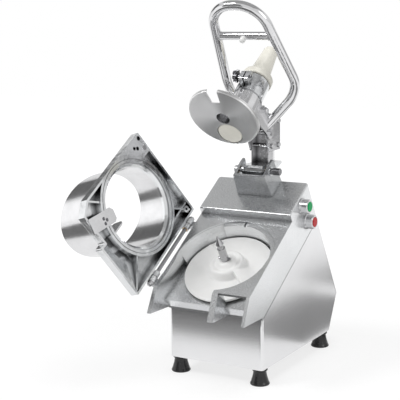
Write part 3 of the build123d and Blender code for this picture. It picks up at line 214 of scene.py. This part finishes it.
# The base is a box folded from brushed stainless sheet and welded at its corners. It carries
# everything else, and has slots for cooling air at the rear.
def metal_finish(
    name,
    colour,
    roughness,
    grain=(60, 60, 60),
    depth=0.02,
    wave=0.0,
    wave_scale=40.0,
    painted_shade=0.0,
):
    """Steel or aluminium with a fine grain, a slow waviness and painted shade in its corners."""
    tint_spread = 0.04
    sheen_spread = 0.15
    corner_reach = 0.02
    grain_height = 0.0005
    paint = bpy.data.materials.new(name)
    paint.use_nodes = True
    tree = paint.node_tree
    shader = tree.nodes["Principled BSDF"]
    shader.inputs["Metallic"].default_value = 1.0
    places = tree.nodes.new("ShaderNodeTexCoord")
    stretch = tree.nodes.new("ShaderNodeMapping")
    stretch.inputs["Scale"].default_value = grain
    tree.links.new(places.outputs["Object"], stretch.inputs["Vector"])
    lines = tree.nodes.new("ShaderNodeTexNoise")
    lines.inputs["Scale"].default_value = 1.0
    lines.inputs["Detail"].default_value = 3.0
    tree.links.new(stretch.outputs["Vector"], lines.inputs["Vector"])
    waves = tree.nodes.new("ShaderNodeTexNoise")
    waves.inputs["Scale"].default_value = wave_scale
    waves.inputs["Detail"].default_value = 2.0
    tree.links.new(places.outputs["Object"], waves.inputs["Vector"])
    darker = [channel * (1 - tint_spread) for channel in colour]
    lighter = [min(1.0, channel * (1 + tint_spread)) for channel in colour]
    tint = tree.nodes.new("ShaderNodeValToRGB")
    tint.color_ramp.elements[0].position = 0.3
    tint.color_ramp.elements[0].color = (*darker, 1)
    tint.color_ramp.elements[1].position = 0.7
    tint.color_ramp.elements[1].color = (*lighter, 1)
    tree.links.new(waves.outputs["Fac"], tint.inputs["Fac"])
    tree.links.new(tint.outputs["Color"], shader.inputs["Base Color"])
    # Painted shade: ambient occlusion darkens the base colour in corners and recesses, by the
    # share given.
    if painted_shade > 0:
        corners = tree.nodes.new("ShaderNodeAmbientOcclusion")
        corners.inputs["Distance"].default_value = corner_reach
        corners.samples = 32
        darkening = tree.nodes.new("ShaderNodeMapRange")
        darkening.inputs["From Min"].default_value = 0.25
        darkening.inputs["From Max"].default_value = 0.85
        darkening.inputs["To Min"].default_value = 1.0 - painted_shade
        darkening.inputs["To Max"].default_value = 1.0
        tree.links.new(corners.outputs["AO"], darkening.inputs["Value"])
        dimmed = tree.nodes.new("ShaderNodeVectorMath")
        dimmed.operation = "SCALE"
        tree.links.new(tint.outputs["Color"], dimmed.inputs[0])
        tree.links.new(darkening.outputs["Result"], dimmed.inputs["Scale"])
        tree.links.new(dimmed.outputs["Vector"], shader.inputs["Base Color"])
    sheen = tree.nodes.new("ShaderNodeMapRange")
    sheen.inputs["To Min"].default_value = roughness * (1 - sheen_spread)
    sheen.inputs["To Max"].default_value = roughness * (1 + sheen_spread)
    tree.links.new(lines.outputs["Fac"], sheen.inputs["Value"])
    tree.links.new(sheen.outputs["Result"], shader.inputs["Roughness"])
    relief = tree.nodes.new("ShaderNodeBump")
    relief.inputs["Strength"].default_value = depth
    relief.inputs["Distance"].default_value = grain_height
    tree.links.new(lines.outputs["Fac"], relief.inputs["Height"])
    tree.links.new(relief.outputs["Normal"], shader.inputs["Normal"])
    if wave > 0:
        swell = tree.nodes.new("ShaderNodeBump")
        swell.inputs["Strength"].default_value = 1.0
        swell.inputs["Distance"].default_value = wave
        tree.links.new(waves.outputs["Fac"], swell.inputs["Height"])
        tree.links.new(swell.outputs["Normal"], relief.inputs["Normal"])
    return paint


def dress(paint, *names):
    """Give CAD nodes their finish."""
    for name in names:
        for material_slot in nodes[name].material_slots:
            material_slot.material = paint


panel_steel = metal_finish(
    "panel_steel",
    (0.80, 0.80, 0.81),
    0.22,
    grain=(8, 8, 1500),
    depth=0.012,
    wave_scale=5.0,
)
dress(panel_steel, "base_housing")

# The head is one aluminium casting with the sloping bowl, the spout and the hood behind it.
# It is bead-blasted to an even satin and bolted down on the base.
head_aluminium = metal_finish(
    "head_aluminium",
    (0.79, 0.80, 0.81),
    0.27,
    grain=(700, 700, 700),
    depth=0.008,
    wave_scale=8.0,
    # painted shade darkens the casting's corners and recesses
    painted_shade=0.6,
)
dress(head_aluminium, "head_casting")

# The pedestal is a smaller casting of the same satin aluminium, screwed on the hood.
# Its colour is set darker than the head's, as painted shade. Its two ears carry the lever's pin.
shaded_pedestal_aluminium = metal_finish(
    "shaded_pedestal_aluminium",
    (0.52, 0.53, 0.54),
    0.26,
    grain=(300, 300, 300),
    depth=0.01,
)
dress(shaded_pedestal_aluminium, "lever_pedestal", "pedestal_screws")

# The hopper's frame is a square polished aluminium casting, ribbed underneath, with painted
# shade darkening the hollows between its ribs. Two eyes on one edge swing on the hinge rod.
hopper_aluminium = metal_finish(
    "hopper_aluminium",
    (0.76, 0.77, 0.78),
    0.14,
    grain=(160, 160, 160),
    depth=0.05,
    wave=0.0006,
    wave_scale=45.0,
    # painted shade darkens the frame's corners and the hollows between its ribs
    painted_shade=0.8,
)
dress(hopper_aluminium, "hopper_frame")

# The feed cylinder is rolled from stainless sheet, polished inside and out and set in the
# frame, with a fin welded across it.
cylinder_steel = metal_finish(
    "cylinder_steel",
    (0.76, 0.76, 0.77),
    0.18,
    grain=(40, 40, 600),
    depth=0.02,
)
dress(cylinder_steel, "feed_cylinder", "divider_fin")

# The strap is a flat strip of stainless sheet let into the frame's cut corner, and held by
# three dark countersunk screws.
dress(cylinder_steel, "interlock_strap")
dark_screw_steel = metal_finish("dark_screw_steel", (0.16, 0.16, 0.17), 0.34, grain=(90, 90, 90))
dress(dark_screw_steel, "strap_screws")

# The hinge is one long rod of drawn steel, darker than the castings that it runs through. A
# turned cap nut closes it at each end.
turned_steel = metal_finish("turned_steel", (0.56, 0.56, 0.57), 0.16, grain=(30, 30, 400))
dress(turned_steel, "hinge_nuts")
rod_steel = metal_finish("rod_steel", (0.34, 0.34, 0.35), 0.12, grain=(30, 300, 300))
dress(rod_steel, "hinge_rod")

# Plain bronze bushes are pressed into the hopper's hinge eyes, the yoke on the lever's pin
# and the side plates at the pusher's pivot.
bush_bronze = metal_finish("bush_bronze", (0.62, 0.42, 0.20), 0.35, grain=(80, 80, 80))
dress(bush_bronze, "hinge_bushes", "arm_bushes", "pivot_bushes")

# The spindle is turned and polished from stainless bar, with a pointed nose. A hard steel pin
# is pressed across it to drive the disc.
spindle_steel = metal_finish(
    "spindle_steel",
    (0.46, 0.46, 0.47),
    0.10,
    grain=(30, 30, 400),
    wave=0.0002,
    wave_scale=120.0,
)
dress(spindle_steel, "spindle_shaft", "drive_pin")


# Four flared rubber feet carry the machine. Each is moulded in one, glossy black, with a
# rounded tread below and a collar that seats against the floor plate above.
def moulded_finish(name, colour, roughness, speckle=0.03, pit_depth=0.03):
    """Plastic or rubber with a faint unevenness in colour and a fine pitted skin."""
    speckle_scale = 60.0
    pit_scale = 1200.0
    pit_height = 0.0003
    paint = bpy.data.materials.new(name)
    paint.use_nodes = True
    tree = paint.node_tree
    shader = tree.nodes["Principled BSDF"]
    shader.inputs["Roughness"].default_value = roughness
    places = tree.nodes.new("ShaderNodeTexCoord")
    patches = tree.nodes.new("ShaderNodeTexNoise")
    patches.inputs["Scale"].default_value = speckle_scale
    patches.inputs["Detail"].default_value = 4.0
    tree.links.new(places.outputs["Object"], patches.inputs["Vector"])
    darker = [channel * (1 - speckle) for channel in colour]
    lighter = [min(1.0, channel * (1 + speckle)) for channel in colour]
    tint = tree.nodes.new("ShaderNodeValToRGB")
    tint.color_ramp.elements[0].position = 0.35
    tint.color_ramp.elements[0].color = (*darker, 1)
    tint.color_ramp.elements[1].position = 0.65
    tint.color_ramp.elements[1].color = (*lighter, 1)
    tree.links.new(patches.outputs["Fac"], tint.inputs["Fac"])
    tree.links.new(tint.outputs["Color"], shader.inputs["Base Color"])
    pits = tree.nodes.new("ShaderNodeTexNoise")
    pits.inputs["Scale"].default_value = pit_scale
    tree.links.new(places.outputs["Object"], pits.inputs["Vector"])
    relief = tree.nodes.new("ShaderNodeBump")
    relief.inputs["Strength"].default_value = pit_depth
    relief.inputs["Distance"].default_value = pit_height
    tree.links.new(pits.outputs["Fac"], relief.inputs["Height"])
    tree.links.new(relief.outputs["Normal"], shader.inputs["Normal"])
    return paint


def turned_piece(name, outline, stand, sides=72):
    """Raise a round piece ring by ring from its underside, and set it where it stands."""
    crease = math.radians(38)
    radius, height = outline[0]
    bpy.ops.object.select_all(action="DESELECT")
    bpy.ops.mesh.primitive_circle_add(
        vertices=sides, radius=radius, fill_type="NGON", location=(0, 0, height)
    )
    piece = bpy.context.object
    piece.name = name
    piece.data.name = name
    bpy.ops.object.mode_set(mode="EDIT")
    bpy.ops.mesh.select_all(action="SELECT")
    for next_radius, next_height in outline[1:]:
        rise = (0, 0, next_height - height)
        bpy.ops.mesh.extrude_region_move(TRANSFORM_OT_translate={"value": rise})
        grow = next_radius / radius
        bpy.ops.transform.resize(value=(grow, grow, 1), center_override=(0, 0, next_height))
        radius, height = next_radius, next_height
    bpy.ops.mesh.select_all(action="SELECT")
    bpy.ops.mesh.normals_make_consistent(inside=False)
    bpy.ops.object.mode_set(mode="OBJECT")
    piece.matrix_world = stand @ piece.matrix_world
    bpy.ops.object.transform_apply(location=True, rotation=True, scale=True)
    bpy.ops.object.shade_smooth_by_angle(angle=crease)
    return piece


foot_outline = [
    (0.0196, 0.0000),
    (0.0206, 0.0004),
    (0.0213, 0.0014),
    (0.0215, 0.0026),
    (0.0211, 0.0040),
    (0.0198, 0.0062),
    (0.0189, 0.0090),
    (0.0172, 0.0144),
    (0.0156, 0.0200),
    (0.0147, 0.0250),
    (0.0141, 0.0290),
    (0.0142, 0.0302),
    (0.0150, 0.0310),
    (0.0164, 0.0314),
    (0.0170, 0.0322),
    (0.0170, 0.0352),
    (0.0166, 0.0358),
    (0.0158, 0.0360),
]
foot_rubber = moulded_finish(
    "foot_rubber", (0.014, 0.014, 0.015), 0.22, speckle=0.2, pit_depth=0.02
)
feet_low, feet_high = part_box("rubber_feet")
foot_reach = foot_outline[3][0]
foot_places = [
    (feet_low.x + foot_reach, feet_low.y + foot_reach),
    (feet_low.x + foot_reach, feet_high.y - foot_reach),
    (feet_high.x - foot_reach, feet_low.y + foot_reach),
    (feet_high.x - foot_reach, feet_high.y - foot_reach),
]
for count, (foot_x, foot_y) in enumerate(foot_places):
    foot_stand = Matrix.Translation((foot_x, foot_y, 0))
    foot = turned_piece(f"rubber_foot_{count + 1}", foot_outline, foot_stand)
    foot.data.materials.append(foot_rubber)
    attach(foot, "root")
    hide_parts("rubber_feet")

# The ejector is one white plastic moulding that turns under the cutting disc. Two swept vanes
# rise from its flat face beside the hub and throw the cut food out to the front.
bowl_slope = math.radians(31.8)
incline_origin = (0.0995479, -0.1585323, 0.211)
incline = Matrix.Translation(incline_origin) @ Matrix.Rotation(bowl_slope, 4, "X")
spindle_stand = incline @ Matrix.Translation((0.004, 0.1078, 0))
face_height = -0.035
face_margin = 0.0001
ring_step = 0.003
ring_count = 17
vane_heading = math.radians(138.6)
vane_sweep = 0.052
vane_root = 0.036
vane_tip = 0.096
vane_rise = 0.0190
vane_fall = 0.62
vane_end = 0.006
ejector_crease = math.radians(50)
ejector_outline = [
    (0.0986, -0.0410),
    (0.0997, -0.0405),
    (0.1000, -0.0395),
    (0.1000, -0.0362),
    (0.0996, -0.0354),
    (0.0986, -0.0350),
]
ejector_outline += [(vane_tip - ring_step * ring, face_height) for ring in range(ring_count)]
ejector_outline += [
    (0.0452, -0.0350),
    (0.0435, -0.0345),
    (0.0420, -0.0330),
    (0.0410, -0.0300),
    (0.0402, -0.0260),
    (0.0392, -0.0220),
    (0.0378, -0.0185),
    (0.0356, -0.0162),
    (0.0330, -0.0152),
    (0.0308, -0.0152),
    (0.0285, -0.0160),
    (0.0262, -0.0168),
    (0.0240, -0.0162),
    (0.0215, -0.0142),
    (0.0185, -0.0118),
    (0.0155, -0.0098),
    (0.0130, -0.0090),
    (0.0104, -0.0091),
    (0.0092, -0.0096),
    (0.0091, -0.0200),
]
ejector = turned_piece("ejector_moulding", ejector_outline, Matrix.Identity(4), sides=160)
vane_share = ejector.vertex_groups.new(name="vane_share")
for vertex in ejector.data.vertices:
    radius = math.hypot(vertex.co.x, vertex.co.y)
    if radius < vane_root or radius > vane_tip or vertex.co.z < face_height - face_margin:
        continue
    outward = (radius - vane_root) / (vane_tip - vane_root)
    crest = vane_rise * (1 - vane_fall * outward) * min(1.0, (vane_tip - radius) / vane_end)
    for turn in (0, math.pi):
        heading = math.atan2(vertex.co.y, vertex.co.x) - vane_heading - turn
        behind = (heading % (2 * math.pi)) * radius
        if behind < vane_sweep:
            slope = 0.5 + 0.5 * math.cos(math.pi * behind / vane_sweep)
            lift = face_height + crest * slope - vertex.co.z
            if lift > 0:
                vane_share.add([vertex.index], lift / vane_rise, "REPLACE")
raised = ejector.modifiers.new("raised_vanes", "DISPLACE")
raised.direction = "Z"
raised.mid_level = 0.0
raised.strength = vane_rise
raised.vertex_group = "vane_share"
bpy.ops.object.modifier_apply(modifier="raised_vanes")
ejector.vertex_groups.clear()
ejector.matrix_world = spindle_stand
bpy.ops.object.transform_apply(location=True, rotation=True, scale=True)
bpy.ops.object.shade_smooth_by_angle(angle=ejector_crease)
white_plastic = moulded_finish("white_plastic", (0.93, 0.93, 0.92), 0.34, speckle=0.012)
ejector.data.materials.append(white_plastic)
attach(ejector, "spindle")
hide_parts("ejector_disc")

# The pestle is turned from ivory plastic: a long plug for the narrow tube, a collar that rests
# on the tube, and a tapered grip.
plate_middle = (0.1035479, -0.0660574, 0.5666559)
pusher_lean = math.radians(-49.5)
pestle_offset = 0.0465
pestle_seat = 0.1583
pusher_stand = Matrix.Translation(plate_middle) @ Matrix.Rotation(pusher_lean, 4, "X")
pestle_stand = pusher_stand @ Matrix.Translation((0, pestle_offset, 0))
pestle_outline = [
    (0.0258, 0.0000),
    (0.0267, 0.0004),
    (0.0274, 0.0013),
    (0.0279, 0.0030),
    (0.0279, pestle_seat),
    (0.0338, pestle_seat),
    (0.0348, pestle_seat + 0.0004),
    (0.0354, pestle_seat + 0.0014),
    (0.0355, pestle_seat + 0.0030),
    (0.0355, pestle_seat + 0.0130),
    (0.0352, pestle_seat + 0.0148),
    (0.0343, pestle_seat + 0.0162),
    (0.0326, pestle_seat + 0.0170),
    (0.0290, pestle_seat + 0.0174),
    (0.0258, pestle_seat + 0.0178),
    (0.0246, pestle_seat + 0.0188),
    (0.0240, pestle_seat + 0.0205),
    (0.0203, pestle_seat + 0.0590),
    (0.0166, pestle_seat + 0.0965),
    (0.0160, pestle_seat + 0.0990),
    (0.0148, pestle_seat + 0.1010),
    (0.0128, pestle_seat + 0.1026),
    (0.0098, pestle_seat + 0.1035),
    (0.0050, pestle_seat + 0.1037),
]
pestle = turned_piece("pestle_turning", pestle_outline, pestle_stand)
ivory_plastic = moulded_finish("ivory_plastic", (0.84, 0.82, 0.74), 0.40, speckle=0.02)
pestle.data.materials.append(ivory_plastic)
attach(pestle, "pestle_body")
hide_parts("pestle")

# A thin dark strip lies in the joint between the casting and the sheet box, as painted shade for
# the narrow gap between them. One runs up each side, from the front corner to the rear wall.
seam_under = -0.084
seam_front = 0.0142
seam_rear = 0.3400
seam_half = 0.1149
seam_size = (0.0008, seam_rear - seam_front, 0.0011)
seam_round = 0.0002
seam_crease = math.radians(40)
painted_joint_shade = moulded_finish("painted_joint_shade", (0.05, 0.05, 0.052), 0.5, speckle=0.1)
for side_name, side in (("left", -1), ("right", 1)):
    bpy.ops.object.select_all(action="DESELECT")
    bpy.ops.mesh.primitive_cube_add(size=1, location=(0, 0, 0))
    shade_strip = bpy.context.object
    shade_strip.name = "seam_shade_strip_" + side_name
    shade_strip.data.name = shade_strip.name
    bpy.ops.object.mode_set(mode="EDIT")
    bpy.ops.mesh.select_all(action="SELECT")
    bpy.ops.transform.resize(value=seam_size, center_override=(0, 0, 0))
    bpy.ops.mesh.bevel(offset=seam_round, segments=2, affect="EDGES")
    bpy.ops.object.mode_set(mode="OBJECT")
    seam_middle = (side * seam_half, (seam_front + seam_rear) / 2, seam_under)
    shade_strip.matrix_world = incline @ Matrix.Translation(seam_middle)
    bpy.ops.object.transform_apply(location=True, rotation=True, scale=True)
    bpy.ops.object.shade_smooth_by_angle(angle=seam_crease)
    shade_strip.data.materials.append(painted_joint_shade)
    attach(shade_strip, "root")

# The pusher's plate is a stainless disc with a turned-up rim, polished on a lathe, so its
# highlights stretch out in rays from its middle. Its base colour also carries a painted sheen,
# lighter and darker in rays round its middle. It has a slot for the fin and a hole for each
# tube.
pusher_axis = (0, 0.7604060, 0.6494480)
# The heading and the greys of the painted sheen's rays.
painted_sheen_aim = (0.80, 0.39, -0.46)
painted_sheen_steps = [
    (0.0, 0.95),
    (0.12, 0.92),
    (0.33, 0.46),
    (0.55, 0.60),
    (0.72, 0.84),
    (0.88, 0.46),
    (1.0, 0.58),
]
plate_steel = metal_finish(
    "plate_steel", (0.70, 0.70, 0.71), 0.30, grain=(50, 50, 50), depth=0.01
)
tree = plate_steel.node_tree
plate_places = tree.nodes.new("ShaderNodeTexCoord")
from_middle = tree.nodes.new("ShaderNodeVectorMath")
from_middle.operation = "SUBTRACT"
from_middle.inputs[1].default_value = plate_middle
tree.links.new(plate_places.outputs["Object"], from_middle.inputs[0])
round_middle = tree.nodes.new("ShaderNodeVectorMath")
round_middle.operation = "CROSS_PRODUCT"
round_middle.inputs[1].default_value = pusher_axis
tree.links.new(from_middle.outputs["Vector"], round_middle.inputs[0])
lathe_lines = tree.nodes.new("ShaderNodeVectorTransform")
lathe_lines.vector_type = "VECTOR"
lathe_lines.convert_from = "OBJECT"
lathe_lines.convert_to = "WORLD"
tree.links.new(round_middle.outputs["Vector"], lathe_lines.inputs["Vector"])
lathe_way = tree.nodes.new("ShaderNodeVectorMath")
lathe_way.operation = "NORMALIZE"
tree.links.new(lathe_lines.outputs["Vector"], lathe_way.inputs[0])
plate_shader = tree.nodes["Principled BSDF"]
plate_shader.inputs["Anisotropic"].default_value = 0.7
tree.links.new(lathe_way.outputs["Vector"], plate_shader.inputs["Tangent"])
outward_way = tree.nodes.new("ShaderNodeVectorMath")
outward_way.operation = "NORMALIZE"
tree.links.new(from_middle.outputs["Vector"], outward_way.inputs[0])
painted_sheen_share = tree.nodes.new("ShaderNodeVectorMath")
painted_sheen_share.operation = "DOT_PRODUCT"
painted_sheen_share.inputs[1].default_value = painted_sheen_aim
tree.links.new(outward_way.outputs["Vector"], painted_sheen_share.inputs[0])
# Painted sheen: the base colour's grey follows each ray's heading from the plate's middle,
# through the listed steps.
painted_sheen_tint = tree.nodes.new("ShaderNodeValToRGB")
painted_sheen_tint.color_ramp.interpolation = "B_SPLINE"
ramp_steps = painted_sheen_tint.color_ramp.elements
ramp_steps[0].position, first_grey = painted_sheen_steps[0]
ramp_steps[0].color = (first_grey, first_grey, first_grey, 1)
ramp_steps[1].position, last_grey = painted_sheen_steps[-1]
ramp_steps[1].color = (last_grey, last_grey, last_grey, 1)
for ray_place, ray_grey in painted_sheen_steps[1:-1]:
    ramp_steps.new(ray_place).color = (ray_grey, ray_grey, ray_grey, 1)
ray_range = tree.nodes.new("ShaderNodeMapRange")
ray_range.inputs["From Min"].default_value = -1.0
ray_range.inputs["From Max"].default_value = 1.0
tree.links.new(painted_sheen_share.outputs["Value"], ray_range.inputs["Value"])
tree.links.new(ray_range.outputs["Result"], painted_sheen_tint.inputs["Fac"])
tree.links.new(painted_sheen_tint.outputs["Color"], plate_shader.inputs["Base Color"])
dress(plate_steel, "pusher_plate")

# A closed sleeve of drawn steel stands on the plate over the spindle's hole, a little duller
# than the longer tube beside it, which guides the pestle. Both are welded to the plate.
sleeve_steel = metal_finish("sleeve_steel", (0.86, 0.86, 0.87), 0.24, grain=(40, 40, 600))
dress(sleeve_steel, "spindle_sleeve")
dress(cylinder_steel, "pusher_tube")

# The collar at the tube's top is a small polished casting. It is split at the front, where
# the star knob's stud draws its two lugs together.
small_casting = metal_finish(
    "small_casting",
    (0.66, 0.67, 0.68),
    0.13,
    grain=(160, 160, 160),
    depth=0.05,
    wave=0.0004,
    wave_scale=90.0,
    # painted shade darkens the casting's corners and recesses
    painted_shade=0.8,
)
dress(small_casting, "tube_clamp")

# Two stainless plates, cut to seat on the sides of the pestle's tube, hang the pusher on its
# pivot bolt. A bolt through each has its hexagon head inside.
dress(cylinder_steel, "pusher_brackets")
dress(turned_steel, "bracket_bolts")

# The handle is one stainless tube, bent and polished to a mirror, with a crossbar welded in.
# Slow waves left by the bending break up what it mirrors.
handle_steel = metal_finish(
    "handle_steel",
    (0.70, 0.70, 0.71),
    0.06,
    grain=(400, 400, 400),
    depth=0.01,
    wave=0.0004,
    wave_scale=60.0,
)
dress(handle_steel, "handle_loop", "handle_crossbar")

# The lever is a channel folded from stainless sheet, stiffened by a strut behind and by two
# side plates that carry the pusher's pivot.
channel_steel = metal_finish(
    "channel_steel",
    (0.48, 0.48, 0.49),
    0.14,
    grain=(60, 60, 500),
    depth=0.02,
    wave=0.0003,
    wave_scale=60.0,
    # painted shade darkens the channel's inside corners and recesses
    painted_shade=0.85,
)
dress(channel_steel, "arm_channel", "arm_side_plates")
dress(cylinder_steel, "rear_strut")

# The yoke is a polished casting at the lever's foot. Its two cheeks are bored for the pin,
# and the channel and the strut stand on its top plate.
dress(small_casting, "arm_yoke")

# The lever's pin is turned steel, headed on the left. The knob that holds it on the right has
# a knurled rim that looks dark.
dress(turned_steel, "lever_pin")
knurled_steel = metal_finish(
    "knurled_steel", (0.22, 0.22, 0.23), 0.28, grain=(700, 700, 700), depth=0.3
)
dress(knurled_steel, "lever_pin_knob")

# Bright turned bolts and nuts: the pivot's bolt and the dome nuts on the brackets, and the
# three bolts with hexagon nuts that hold the side plates to the lever.
dress(turned_steel, "pivot_bolt", "dome_nuts", "column_bolts", "column_nuts")

# Plain steel below and inside: the floor plate and its screws, the bearings and their
# housing, the pulleys, the motor's shaft, plate and spacers, the inlet's gland, and the
# magnet in the hopper's frame.
plain_steel = metal_finish("plain_steel", (0.45, 0.45, 0.46), 0.34, grain=(80, 80, 80))
dress(plain_steel, "floor_plate", "foot_screws", "inlet_gland", "lid_magnet")
dress(plain_steel, "bearing_housing", "bearing_outer_rings", "bearing_inner_rings")
dress(plain_steel, "bearing_balls", "driven_pulley", "motor_pulley", "motor_shaft")
dress(plain_steel, "motor_plate", "plate_spacers")

# The crossbar is welded between the handle's legs. Each weld is a rounded bead run round the
# bar's end, left bright after brushing.
weld_outline = [
    (0.0086, -0.0020),
    (0.0096, -0.0018),
    (0.0104, -0.0010),
    (0.0107, 0.0002),
    (0.0106, 0.0016),
    (0.0102, 0.0030),
    (0.0094, 0.0040),
    (0.0084, 0.0044),
]
crossbar_y = 0.0334677
crossbar_z = 0.738
weld_reach = 0.0602
weld_steel = metal_finish(
    "weld_steel", (0.60, 0.60, 0.61), 0.26, grain=(500, 500, 500), depth=0.3
)
for side_name, side in (("left", -1), ("right", 1)):
    weld_place = (plate_middle[0] + side * weld_reach, crossbar_y, crossbar_z)
    weld_turn = Matrix.Rotation(side * math.pi / 2, 4, "Y")
    weld_stand = Matrix.Translation(weld_place) @ weld_turn
    weld = turned_piece("crossbar_weld_" + side_name, weld_outline, weld_stand, sides=48)
    weld.data.materials.append(weld_steel)
    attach(weld, "pusher")

# Two push buttons on the side panel: moulded caps, green to start and red to stop, each in a
# silver bezel. Their contact blocks are behind the panel.
cap_specular = 0.15
bezel_steel = metal_finish(
    "bezel_steel", (0.62, 0.62, 0.63), 0.20, grain=(400, 400, 400), depth=0.08
)
dress(bezel_steel, "button_bezels")
green_plastic = moulded_finish("green_plastic", (0.002, 0.42, 0.12), 0.35)
dress(green_plastic, "start_button")
red_plastic = moulded_finish("red_plastic", (0.60, 0.04, 0.045), 0.35)
dress(red_plastic, "stop_button")
for cap_paint in (green_plastic, red_plastic):
    cap_shader = cap_paint.node_tree.nodes["Principled BSDF"]
    cap_shader.inputs["Specular IOR Level"].default_value = cap_specular

# The contact blocks and the sensor under the casting, which feels the closed hopper's magnet,
# are moulded in black plastic.
black_plastic = moulded_finish("black_plastic", (0.02, 0.02, 0.02), 0.25)
dress(black_plastic, "switch_blocks", "interlock_sensor")

# The clamp's knob is a small star of cast and darkened steel, with its stud in one piece. The
# stud turns in the collar's lugs.
knob_steel = metal_finish(
    "knob_steel", (0.24, 0.24, 0.25), 0.20, grain=(300, 300, 300), depth=0.1
)
dress(knob_steel, "clamp_knob")

# The crossbar's rest button is moulded in the ejector's white plastic. The spindle's lip seal
# and the drive belt are moulded in the feet's black rubber.
dress(white_plastic, "crossbar_bumper")
dress(foot_rubber, "spindle_seal", "drive_belt")

# The motor's body is a ribbed die-cast can, painted dark grey. It hangs from a plate inside
# the base.
motor_paint = moulded_finish("motor_paint", (0.10, 0.11, 0.12), 0.45)
dress(motor_paint, "motor_body")
